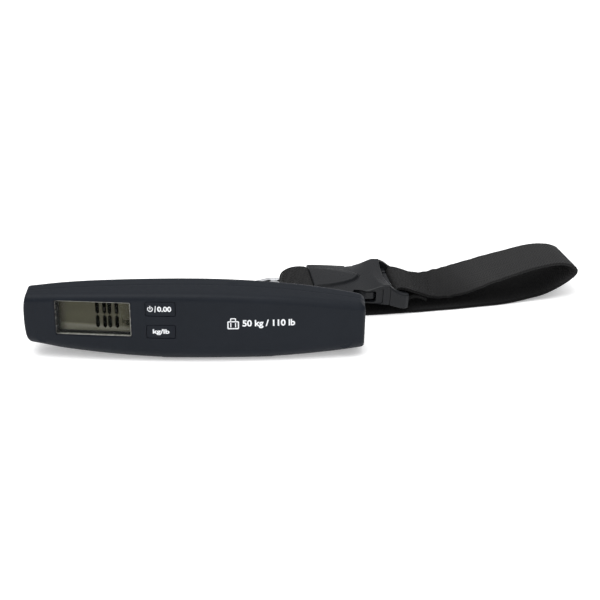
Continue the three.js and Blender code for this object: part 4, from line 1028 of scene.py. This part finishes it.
def webbing_mat():
    k = NodeMat("webbing_weave")
    uv = k.n("ShaderNodeUVMap"); uv.uv_map = "weave"
    sp = k.n("ShaderNodeSeparateXYZ"); k.l(uv.outputs[0], sp.inputs[0])
    u, v = sp.outputs[0], sp.outputs[1]
    # herringbone: columns 3.1 mm wide, their diagonals turn over at each column
    col = k.math("PINGPONG", u, 0.0031)
    diag = k.math("ADD", v, k.math("MULTIPLY", col, 0.9))
    yarn = k.math("SINE", k.math("MULTIPLY", diag, 2 * PI / 0.00150))
    warp = k.math("SINE", k.math("MULTIPLY", u, 2 * PI / 0.00078))
    weft = k.math("SINE", k.math("MULTIPLY", v, 2 * PI / 0.00084))
    grain = k.n("ShaderNodeCombineXYZ"); k.l(u, grain.inputs[0]); k.l(v, grain.inputs[1])
    fz = k.noise(3200, 3, 0.65, vec=grain.outputs[0])
    slow = k.noise(70, 3, 0.6, vec=grain.outputs[0])
    streak = k.noise(220, 3, 0.6, vec=grain.outputs[0], stretch=(6, 0.4, 1))
    h = k.math("ADD", k.math("MULTIPLY", yarn, 0.45), k.math("MULTIPLY", k.math("MULTIPLY", warp, weft), 0.35))
    h = k.math("ADD", h, k.math("MULTIPLY", fz, 0.5))
    # yarn crests painted lighter and the hollows between yarns painted darker: painted light and shade of the weave
    # relief
    weave_crest_light = k.span(h, -0.35, 0.85)
    c = k.mix(weave_crest_light, (0.0030, 0.0030, 0.0032), (0.046, 0.046, 0.0465))
    c = k.mix(k.span(slow, 0.35, 0.7, 0, 0.22), c, (0.026, 0.026, 0.0265))
    c = k.mix(k.span(streak, 0.5, 0.8, 0, 0.30), c, (0.006, 0.006, 0.0065))
    # painted shade: the strap's rounded edges and outermost yarns darkened
    side = k.math("GREATER_THAN", u, 0.018)
    uc = k.math("ABSOLUTE", k.math("SUBTRACT", u, k.math("MULTIPLY", side, 0.031)))
    c = k.mix(k.span(uc, 0.01195, 0.01235, 0, 0.80), c, (0.0022, 0.0022, 0.0024))
    co = k.n("ShaderNodeSeparateXYZ"); k.l(k.coord(), co.inputs[0])
    # painted light and shade by position: the raised loop towards the tip is picked out here
    far = k.math("MULTIPLY", k.span(co.outputs[0], 0.104, 0.136, 0.0, 1.0), k.span(co.outputs[2], 0.004, 0.011, 0.0, 1.0))
    # painted shade: darker towards the floor
    c = k.mix(k.span(co.outputs[2], 0.003, 0.0125, 0.62, 0.0), c, (0.0030, 0.0030, 0.0032))
    # painted shade: darker everywhere but the raised loop, near the buckle and along the low run
    c = k.mix(k.math("MULTIPLY", k.math("SUBTRACT", 1.0, far), 0.34), c, (0.0035, 0.0035, 0.0038))
    # painted light: the raised loop at the tip lightened
    c = k.mix(k.math("MULTIPLY", far, 0.16), c, (0.052, 0.052, 0.0525))
    nrm = k.bump(h, 0.85, 0.00013)
    return k.set(base=c, rough=k.span(fz, 0.3, 0.7, 0.70, 0.90), spec=0.07, sheen=0.02, normal=nrm)


def fold_creases(S, U, x):
    """soft diagonal creases where the webbing turns round the ring and under the buckle"""
    c = A(-31.5)
    wgt = np.exp(-((x - c) / 6.0) ** 2) * (S < 62) * np.clip((S - 14) / 6, 0, 1) * (1 - np.clip((np.abs(U) - 7.5) / 4.5, 0, 1) ** 2)
    return wgt * (0.42 * np.sin(2 * PI * (S / 5.4 + U / 15.0)) + 0.14 * np.sin(2 * PI * (S / 2.6 - U / 19.0 + 0.3)))


def loop_creases(S, U, x):
    w1 = np.exp(-((x - 117) / 7.0) ** 2)
    w2 = np.exp(-((x - 135) / 14.0) ** 2)
    return w1 * 0.22 * np.sin(2 * PI * (S / 5.2 + U / 24.0)) + w2 * 0.10 * np.sin(2 * PI * (S / 8.5 - U / 30.0))


web = webbing_mat()
low, low_len, low_f = ribbon("strap_ground_run", 0, TIP_I, relief=fold_creases)
up, up_len, up_f = ribbon("strap_return_run", TIP_I, len(FULL) - 1, roll=ROLL, relief=loop_creases)
place(low, "strap", web, ["strap_lower"], angle=50)

up.data.materials.append(web)
shade(up, 50)
tip = (181.0, plan_y(181.0), 15.0)
sewn = (A(37.0), plan_y(A(37.0)), 7.0)
tuple(to_frame([tip])[0])
tuple(to_frame([sewn])[0])
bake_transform(up)
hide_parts("strap_upper")

# stitches through the doubled end next to the plug
def thread_mat():
    k = NodeMat("bonded_thread")
    n1 = k.noise(4200, 2, 0.5)
    c = k.mix(k.span(n1, 0.3, 0.7), (0.007, 0.007, 0.0075), (0.016, 0.016, 0.017))
    return k.set(base=c, rough=k.span(n1, 0.3, 0.7, 0.45, 0.6), spec=0.2, normal=k.bump(n1, 0.4, 0.00003))


thread = thread_mat()


def stitches(name, frame5, rows, lift, length=1.9, gap=0.55, rad=0.24):
    """rows: list of ((s0, u0), (s1, u1)) along and across the webbing in mm"""
    C, T, Wd, N, s = frame5
    VV, FF, base = [], [], 0
    for (s0, u0), (s1, u1) in rows:
        L = math.hypot(s1 - s0, u1 - u0)
        k = max(1, int(L / (length + gap)))
        for i in range(k):
            a, b = (i * (L / k)) / L, (i * (L / k) + length) / L
            pts = []
            for t in np.linspace(a, b, 7):
                ss, uu = s0 + (s1 - s0) * t, u0 + (u1 - u0) * t
                c = np.array([np.interp(ss, s, C[:, q]) for q in range(3)])
                w = np.array([np.interp(ss, s, Wd[:, q]) for q in range(3)])
                m = np.array([np.interp(ss, s, N[:, q]) for q in range(3)])
                arch = math.sin(PI * (t - a) / (b - a))
                pts.append((c + w * uu + m * (lift + 0.20 * arch - 0.12), m, w))
            for j, (p, m, w) in enumerate(pts):
                d = pts[min(j + 1, 6)][0] - pts[max(j - 1, 0)][0]; d /= np.linalg.norm(d)
                sd = np.cross(d, m); sd /= np.linalg.norm(sd)
                r = rad * (0.35 + 0.65 * math.sin(PI * (j + 0.6) / 7.2))
                for q in range(8):
                    VV.append(p + sd * r * math.cos(q * PI / 4) + m * r * 0.8 * math.sin(q * PI / 4))
            for f in grid(7, 8, loop_j=True):
                FF.append(tuple(int(v) + base for v in f))
            FF.append(tuple(base + q for q in range(8))[::-1]); FF.append(tuple(base + 48 + q for q in range(8)))
            base += 56
    return clean(raw_obj(name, VV, FF))


def s_at(fr, x, first=True):
    C, s = fr[0], fr[4]
    i = np.where(np.diff(np.sign(C[:, 0] - x)) != 0)[0]
    return float(s[i[0] if first else i[-1]])


sa, sb = s_at(up_f, A(36.0)), s_at(up_f, A(27.2))
top_sign = 1.0 if up_f[3][np.argmin(abs(up_f[4] - (sa + sb) / 2))][2] > 0 else -1.0
hw = 10.6
rows = [((sa, -hw), (sa, hw)), ((sa + 1.3, -hw), (sa + 1.3, hw)), ((sb, -hw), (sb, hw)), ((sa, -hw), (sb, -hw)), ((sa, hw), (sb, hw)), ((sa, -hw), (sb, hw)), ((sa, hw), (sb, -hw))]
st = stitches("sewn_box_stitch", up_f, rows, top_sign * (WEB_T / 2 + 0.02))
place(st, "plug", thread)
sc_, sd_ = s_at(low_f, A(-27.2)), s_at(low_f, A(-24.6))
n_sign = 1.0 if low_f[3][np.argmin(abs(low_f[4] - sc_))][2] > 0 else -1.0
rows = [((min(sc_, sd_), -10.6), (min(sc_, sd_), 10.6)), ((min(sc_, sd_) + 1.5, -10.6), (min(sc_, sd_) + 1.5, 10.6))]
st2 = stitches("fold_stitch", low_f, rows, n_sign * (WEB_T / 2 + 0.02))
place(st2, "strap", thread)

# ------------------------------------------------------------------- buckle
BM = Matrix.Translation((BUCKLE["x"], BUCKLE["y"], BUCKLE["z"])) @ Matrix.Rotation(BUCKLE["yaw"], 4, "Z") @ Matrix.Rotation(BUCKLE["pitch"], 4, "Y")
XB = -23.1                                    # left end of the housing
TOPP = [(-24.3, 3.15), (-20, 3.45), (-12, 3.5), (-4, 3.45), (0, 3.7), (3, 4.3), (6, 5.1), (8.5, 5.85), (10.5, 6.3), (12, 6.6), (14, 6.8)]
BOTP = [(-24.3, -3.7), (3, -3.6), (9, -4.2), (13.3, -4.7)]
HALF = [(-24.3, 15.7), (-23.0, 16.4), (-15, 16.3), (-8, 15.8), (0, 15.8), (8, 16.3), (13.2, 16.5)]
MOUTH = [(0, 12.1), (4, 12.2), (9, 12.6), (13.6, 13.2), (17, 13.4)]
SHIELD = [(-26.3, 12.2), (-24.3, 11.6), (-15, 10.0), (-8, 7.6), (-3, 4.7), (-0.8, 2.3), (0.5, 0)]


def smooth_tab(tab, x, w=0.7):
    xs, ys = [a for a, _ in tab], [b for _, b in tab]
    return sum(np.interp(x + d * w, xs, ys) * k for d, k in ((-1, .15), (-.5, .2), (0, .3), (.5, .2), (1, .15)))


def poly_dist(X, Y, P):
    """signed distance to a closed polygon, positive inside"""
    P = np.array(P, float)
    d = np.full(X.shape, 1e9); inside = np.zeros(X.shape, bool)
    for i in range(len(P)):
        a, b = P[i], P[(i + 1) % len(P)]
        ab = b - a
        t = np.clip(((X - a[0]) * ab[0] + (Y - a[1]) * ab[1]) / (ab @ ab), 0, 1)
        d = np.minimum(d, np.hypot(X - a[0] - t * ab[0], Y - a[1] - t * ab[1]))
        c = ((a[1] > Y) != (b[1] > Y)) & (X < (b[0] - a[0]) * (Y - a[1]) / (b[1] - a[1] + 1e-12) + a[0])
        inside ^= c
    return np.where(inside, d, -d)


def sstep(x, a, b):
    t = np.clip((x - a) / (b - a), 0, 1)
    return t * t * (3 - 2 * t)


def edge_round(d, r):
    d = np.minimum(d, r)
    return np.where(d < r, r - np.sqrt(np.maximum(0, r * r - (r - d) ** 2)), 0)


def socket():
    e = np.array([0, .05, .14, .28, .45, .65, .9, 1.15])
    uu = np.unique(np.concatenate([e / 37.5, np.linspace(1.5 / 37.5, 1 - 1.5 / 37.5, 120), 1 - e / 37.5]))
    vv = np.unique(np.concatenate([-1 + e / 16.2, np.linspace(-1 + 1.45 / 16.2, 1 - 1.45 / 16.2, 104), 1 - e / 16.2]))
    Uu, Vv = np.meshgrid(uu, vv, indexing="ij")
    Xs = XB + 36.3 * Uu
    hwid = smooth_tab(HALF, Xs, 0.5)
    Y = Vv * hwid
    mx = np.interp(np.abs(Y), [a for a, _ in MOUTH], [b for _, b in MOUTH])
    X = XB + Uu * (mx - XB)
    hwid = smooth_tab(HALF, X, 0.5)
    Y = Vv * hwid
    d_side = hwid - np.abs(Y)
    d_m = mx - X
    d_l = X - XB
    Zt = smooth_tab(TOPP, X, 0.8)
    # the shoulders fall away beside the shield, and the rise ends in a level crescent round the mouth
    crown = np.interp(X, [-24, -18, -8, 0, 4, 8, 12], [0.25, 0.5, 0.9, 1.25, 0.9, 0.25, 0.0])
    Zt = Zt - crown * (np.abs(Y) / 16.2) ** 2.2
    band = 5.32 + 0.0032 * Y * Y - 0.06 * np.maximum(0, X - 8.0)
    kk = 0.16
    Zt = 0.5 * (Zt + band - np.sqrt((Zt - band) ** 2 + kk * kk))
    P = SHIELD + [(x, -y) for x, y in SHIELD[:-1][::-1]]
    ds = poly_dist(X, Y, P)
    Zt = Zt + 1.05 * sstep(ds, -0.10, 0.60) - 0.50 * np.exp(-((ds + 0.55) / 0.40) ** 2) + 0.10 * sstep(ds, 1.0, 3.5)
    Zt -= edge_round(d_side, 1.1) + edge_round(d_m, 0.35) + edge_round(d_l, 0.7)
    Zb = smooth_tab(BOTP, X, 0.5) + edge_round(d_side, 0.9) + edge_round(d_m, 0.45) + edge_round(d_l, 0.6)
    K, n = X.shape
    V = np.vstack([np.stack([X, Y, Zt], -1).reshape(-1, 3), np.stack([X, Y, Zb], -1).reshape(-1, 3)]); N = K * n
    F = [tuple(f) for f in grid(K, n)] + [tuple(int(i) + N for i in f[::-1]) for f in grid(K, n)]
    loop = [(k, 0) for k in range(K)] + [(K - 1, j) for j in range(1, n)] + [(k, n - 1) for k in range(K - 2, -1, -1)] + [(0, j) for j in range(n - 2, 0, -1)]
    ids = [k * n + j for k, j in loop]
    for i in range(len(ids)):
        a, b = ids[i], ids[(i + 1) % len(ids)]
        F.append((a, b, b + N, a + N))
    o = clean(raw_obj("buckle_housing", xform(V, BM), F))
    def rect_x(x, hy, hz, r=0.5): return [(x, y, z) for y, z in rbox_outline(-hy, hy, -hz, hz, r, 4)]
    def cut_x(levels):
        V, F = tube_rings([rect_x(*l) for l in levels])
        return clean(raw_obj("cut", xform(V, BM), F))
    cav = cut_x([(-12.5, 13.0, 2.3), (11.6, 13.0, 2.3), (12.6, 13.5, 2.75), (16, 14.2, 3.3)])
    so_ = lambda e: rbox_outline(-5.0 - e, 6.7 + e, -2.9 - e, 2.75 + e, 1.0 + e, 5)
    side = cutter([(-20, so_(0.35)), (-16.5, so_(0.35)), (-15.9, so_(0)), (15.9, so_(0)), (16.5, so_(0.35)), (20, so_(0.35))], BM)
    posts = []
    for s_ in (1, -1):        # the side wall steps in between the window and the mouth
        def pq(e): return rbox_outline(5.6, 9.9 + e, -3.6 - e, 4.2 + e, 0.8 + e, 5)
        posts.append(cutter([(s_ * 15.75, pq(0)), (s_ * 16.0, pq(0.12)), (s_ * 20, pq(0.5))], BM))
    slot_ = cutter([(-8, [(-26.5, -13.3), (-14.5, -13.3), (-14.5, 13.3), (-26.5, 13.3)]), (2.75, [(-26.5, -13.3), (-14.5, -13.3), (-14.5, 13.3), (-26.5, 13.3)])], BM, y=False)
    o = boolean(o, [cav, side, slot_] + posts)
    V, F = lathe([(0, -13.6), (1.35, -13.6), (1.35, 13.6), (0, 13.6)], 28, "y")
    barr = clean(raw_obj("bar", xform(V + np.array([-21.4, 0, -1.3]), BM), F))
    o = boolean(o, [barr], "UNION")
    o.name = "buckle_housing"
    return o


place(socket(), "strap", acetal, ["buckle_socket"], angle=38)


def plug():
    hwp = [(13.55, 16.5), (21.4, 16.5), (23.1, 15.6)]
    parts = []
    # cheeks as rounded lofts along x
    for s in (1, -1):
        rings = []
        xs = np.concatenate([13.55 + np.array([0, .06, .18, .4]), np.linspace(14.3, 22.3, 26), 23.1 - np.array([.45, .22, .08, 0])])
        for x in xs:
            zt = smooth_tab([(12, 6.1), (13.55, 5.3), (15, 4.45), (16.5, 3.45), (18.5, 2.2), (20.5, 1.25), (23.1, 0.7), (25, 0.6)], x, 0.5)
            zt += s * 0.55 * math.exp(-((x - 16.0) / 3.0) ** 2)
            zb = smooth_tab([(12, -4.4), (13.55, -4.75), (16.5, -5.6), (19, -6.4), (21, -6.6), (25, -6.6)], x, 0.5)
            yo = np.interp(x, [a for a, _ in hwp], [b for _, b in hwp])
            k = float(edge_round(np.array(x - 13.55), 0.15) + edge_round(np.array(23.1 - x), 0.5))
            y0_, y1_, z0_, z1_, rt, rb_ = 13.4 + k, yo - k, zb + k, zt - k, max(0.3, 1.15 - k), max(0.25, 0.7 - k)
            o = []
            for cy, cz, a0, r in ((y1_ - rt, z1_ - rt, 0, rt), (y0_ + 0.4, z1_ - 0.4, 90, 0.4), (y0_ + 0.4, z0_ + 0.4, 180, 0.4), (y1_ - rb_, z0_ + rb_, 270, rb_)):
                o += [(cy + r * math.cos((a0 + 15 * i) * DEG), cz + r * math.sin((a0 + 15 * i) * DEG)) for i in range(7)]
            rings.append([(x, s * y, z) for y, z in o])
        V, F = tube_rings(rings)
        parts.append(clean(raw_obj("cheek", xform(V, BM), F)))
    V, F = tube_rings([[(x, y, z) for y, z in rbox_outline(-13.8, 13.8, -2.1 + k, 1.5 - k, 0.5, 4)] for x, k in ((13.7, .35), (13.85, .12), (14.1, 0), (15.7, 0), (15.9, .12), (16.0, .35))])
    parts.append(clean(raw_obj("cross", xform(V, BM), F)))
    V, F = lathe([(0, -13.8), (1.5, -13.8), (1.5, 13.8), (0, 13.8)], 28, "y")
    parts.append(clean(raw_obj("bar", xform(V + np.array([21.4, 0, -1.0]), BM), F)))
    V, F = tube_rings([[(x, y, z) for y, z in rbox_outline(-h, h, -t, t, 0.35, 3)] for x, h, t in ((-4, 1.2, .6), (-3.8, 1.6, .85), (-3.3, 2.0, 1.0), (-2, 2.1, 1.0), (14.2, 2.1, 1.0))])
    parts.append(clean(raw_obj("tongue", xform(V, BM), F)))
    o = boolean(parts[0], parts[1:], "UNION")
    cuts = []
    for s in (1, -1):
        V, F = tube_rings([[(x, s * y, z) for y, z in rbox_outline(7.6, 11.9, -3, 3, 0.4, 3)] for x in (12, 16.4)])
        cuts.append(clean(raw_obj("cut", xform(V, BM), F)))
    o = boolean(o, cuts)
    o.name = "buckle_insert"
    return o


place(plug(), "plug", acetal, ["buckle_plug"], angle=38)

ARM = [(15.8, 8.4), (15.8, 10.8), (13.0, 11.3), (6.3, 11.7), (6.3, 14.3), (5.0, 14.9), (1.6, 14.9), (-0.6, 13.9), (-3.6, 11.2), (-6.2, 9.2), (-6.0, 8.1), (-2, 9.3), (4, 9.4), (10, 8.8)]


def smooth_closed(P, r=0.55, n=3):
    P = [np.array(p, float) for p in P]
    out = []
    for i in range(len(P)):
        p0, p, p1 = P[i - 1], P[i], P[(i + 1) % len(P)]
        l0, l1 = np.linalg.norm(p0 - p), np.linalg.norm(p1 - p)
        k = min(r, 0.42 * l0, 0.42 * l1)
        a, b = p + (p0 - p) / l0 * k, p + (p1 - p) / l1 * k
        out += [tuple((1 - t) ** 2 * a + 2 * t * (1 - t) * p + t * t * b) for t in np.linspace(0, 1, n + 1)]
    return out


def shrink(P, d):
    P = np.array(P, float)
    area = 0.5 * sum(P[i - 1][0] * P[i][1] - P[i][0] * P[i - 1][1] for i in range(len(P)))
    t = np.roll(P, -1, 0) - np.roll(P, 1, 0)
    t /= np.maximum(np.linalg.norm(t, axis=1), 1e-9)[:, None]
    nrm = np.column_stack([t[:, 1], -t[:, 0]]) * (1 if area > 0 else -1)
    return P - nrm * d


for s, nm, body, node in ((1, "far", "arm_far", "buckle_arm_far"), (-1, "near", "arm_near", "buckle_arm_near")):
    P = smooth_closed([(x, s * y) for x, y in ARM])
    lv = [(-1.9, .30), (-1.84, .14), (-1.68, .03), (-1.5, 0), (1.5, 0), (1.68, .03), (1.84, .14), (1.9, .30)]
    V, F = prism_z([(z, [tuple(q) for q in shrink(P, d)]) for z, d in lv])
    # the outer pad's vertices are picked out here but left unchanged
    pad = (np.abs(V[:, 1]) > 14.2) & (np.abs(V[:, 2]) < 1.95)
    o = clean(raw_obj("buckle_prong_" + nm, xform(V, BM), F))
    place(o, body, acetal, [node], angle=38)


# ------------------------------------------------- pieces inside, kept from CAD
def pcb_mat():
    k = NodeMat("circuit_board")
    n1 = k.noise(500, 3, 0.6)
    br = k.n("ShaderNodeTexBrick"); br.inputs["Scale"].default_value = 330
    for i, c in ((1, (0.010, 0.060, 0.022)), (2, (0.013, 0.075, 0.028)), (3, (0.020, 0.105, 0.040))):
        br.inputs[i].default_value = (*c, 1)
    sp = k.n("ShaderNodeSeparateXYZ"); k.l(k.coord(), sp.inputs[0])
    cb = k.n("ShaderNodeCombineXYZ"); k.l(sp.outputs[0], cb.inputs[0]); k.l(sp.outputs[2], cb.inputs[1])
    k.l(cb.outputs[0], br.inputs[0])
    c = k.mix(k.span(n1, 0.3, 0.7, 0, 0.4), br.outputs[0], (0.008, 0.045, 0.018))
    return k.set(base=c, rough=k.span(n1, 0.3, 0.7, 0.25, 0.4), spec=0.5, normal=k.bump(n1, 0.2, 0.00004))


def foil_mat():
    k = NodeMat("gauge_foil")
    sp = k.n("ShaderNodeSeparateXYZ"); k.l(k.coord(), sp.inputs[0])
    w = k.math("SINE", k.math("MULTIPLY", sp.outputs[2], 2 * PI / 0.0007))
    n1 = k.noise(900, 2, 0.5)
    c = k.mix(k.span(w, -0.2, 0.2), (0.36, 0.17, 0.035), (0.60, 0.44, 0.24))
    c = k.mix(k.span(n1, 0.4, 0.7, 0, 0.3), c, (0.30, 0.13, 0.03))
    return k.set(base=c, rough=k.span(n1, 0.3, 0.7, 0.25, 0.4), spec=0.5, normal=k.bump(w, 0.2, 0.00002))


def cell_mat():
    k = NodeMat("cell_steel")
    n1 = k.noise(300, 3, 0.6)
    sp = k.n("ShaderNodeSeparateXYZ"); k.l(k.coord(), sp.inputs[0])
    rim = k.span(sp.outputs[1], 0.0046, 0.0048, 0, 1)
    c = k.mix(k.span(n1, 0.3, 0.7), (0.55, 0.56, 0.57), (0.68, 0.69, 0.70))
    c = k.mix(k.math("MULTIPLY", rim, 0.2), c, (0.40, 0.40, 0.40))
    return k.set(base=c, rough=k.span(n1, 0.3, 0.7, 0.18, 0.32), metal=1.0, normal=k.bump(n1, 0.15, 0.00003))


rubber = moulded("conductive_rubber", (0.016, 0.016, 0.017), (0.035, 0.035, 0.037), (0.7, 0.9), grain=1600, bump=0.5, spec=0.2, edge=0.2)
chip = moulded("chip_epoxy", (0.008, 0.008, 0.009), (0.016, 0.016, 0.017), (0.35, 0.5), grain=2600, bump=0.3, spec=0.4, edge=0.3)
switch_pl = moulded("switch_body", (0.018, 0.018, 0.020), (0.040, 0.040, 0.043), (0.4, 0.55), grain=2000, bump=0.2, spec=0.4, edge=0.4)
pcb, foil, cellm = pcb_mat(), foil_mat(), cell_mat()
keep = {"elastomer_strip": (rubber, "elastomer"), "main_pcb": (pcb, "circuit_board"), "controller_chip": (chip, "chip_black"),
        "zero_switch": (switch_pl, "switch_body"), "unit_switch": (switch_pl, "switch_body"), "coin_cell": (cellm, "cell_steel"),
        "battery_contact_minus": (spring_steel, "contact_steel"), "battery_contact_plus": (spring_steel, "contact_steel"),
        "load_cell_bar": (aluminium, "load_cell_alloy"), "strain_gauge_front": (foil, "gauge_foil"), "strain_gauge_rear": (foil, "gauge_foil"),
        "load_cell_screw_1": (screw_zinc, "screw_steel"), "load_cell_screw_2": (screw_zinc, "screw_steel")}
for node, (m, s) in keep.items():
    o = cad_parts[node]
    if o.data.materials:
        o.data.materials[0] = m
    else:
        o.data.materials.append(m)
    mod = o.modifiers.new("soft_edges", "BEVEL")
    mod.width, mod.segments, mod.limit_method, mod.angle_limit = (0.05 if "contact" in node or "gauge" in node else 0.14) * MM, 2, "ANGLE", math.radians(35)

# ---------------------------------------------------------------- studio floor
def floor_mat():
    k = NodeMat("studio_floor")
    n1 = k.noise(6, 2, 0.5)
    c = k.mix(k.span(n1, 0.3, 0.7), (0.90, 0.90, 0.90), (0.93, 0.93, 0.93))
    k.b.inputs["Emission Color"].default_value = (1, 1, 1, 1)
    k.b.inputs["Emission Strength"].default_value = 0.30
    return k.set(base=c, rough=0.8, spec=0.1)


bpy.ops.mesh.primitive_plane_add(size=9.0, location=(0.05, 0, -0.0002))
floor = bpy.context.object
floor.name = "studio_floor"
floor.data.materials.append(floor_mat())

world = bpy.data.worlds.new("studio")
bpy.context.scene.world = world
world.use_nodes = True
bg = world.node_tree.nodes["Background"]
# an overhead softbox dome: bright above, falling off toward the horizon
_wt = world.node_tree
_tc = _wt.nodes.new("ShaderNodeTexCoord")
_sp = _wt.nodes.new("ShaderNodeSeparateXYZ")
_wr = _wt.nodes.new("ShaderNodeValToRGB")
_wt.links.new(_tc.outputs["Generated"], _sp.inputs[0])
_wt.links.new(_sp.outputs[2], _wr.inputs[0])
_we = _wr.color_ramp.elements
_we[0].position, _we[0].color = 0.30, (0.16, 0.16, 0.165, 1)
_we[1].position, _we[1].color = 1.0, (1.0, 1.0, 1.0, 1)
_wm = _we.new(0.55); _wm.color = (0.42, 0.42, 0.43, 1)
_wm = _we.new(0.75); _wm.color = (0.90, 0.90, 0.90, 1)
_wt.links.new(_wr.outputs[0], bg.inputs[0])
bg.inputs[1].default_value = 1.35


def area(name, loc, target, size, power, shape="RECTANGLE", size_y=None):
    d = bpy.data.lights.new(name, "AREA")
    d.shape, d.size, d.size_y, d.energy = shape, size, size_y or size, power
    o = bpy.data.objects.new(name, d)
    bpy.context.scene.collection.objects.link(o)
    o.location = loc
    o.rotation_euler = (Vector(target) - Vector(loc)).to_track_quat("-Z", "Y").to_euler()
    return o


area("key_soft", (-0.20, -0.22, 1.10), (0.04, 0.02, 0.0), 0.9, 6.0, size_y=0.7)
area("back_strip", (0.10, 1.50, 0.24), (0.06, 0.03, 0.01), 1.1, 0.45, size_y=0.14)
area("front_fill", (0.35, -1.1, 0.60), (0.04, 0.0, 0.02), 0.8, 3.0, size_y=0.5)

cam_d = bpy.data.cameras.new("camera")
cam_d.lens, cam_d.sensor_width = 92.0, 36.0
cam_d.clip_start, cam_d.clip_end = 0.01, 50
cam = bpy.data.objects.new("camera", cam_d)
bpy.context.scene.collection.objects.link(cam)
EL, DIST = 26 * DEG, 0.7207
target = Vector((0.048, 0.028 - OY * MM, 0.018))
cam.location = target + Vector((0, -math.cos(EL), math.sin(EL))) * DIST
cam.rotation_euler = (PI / 2 - EL, 0, 0)
bpy.context.scene.camera = cam
bpy.context.scene.view_settings.view_transform = "Standard"
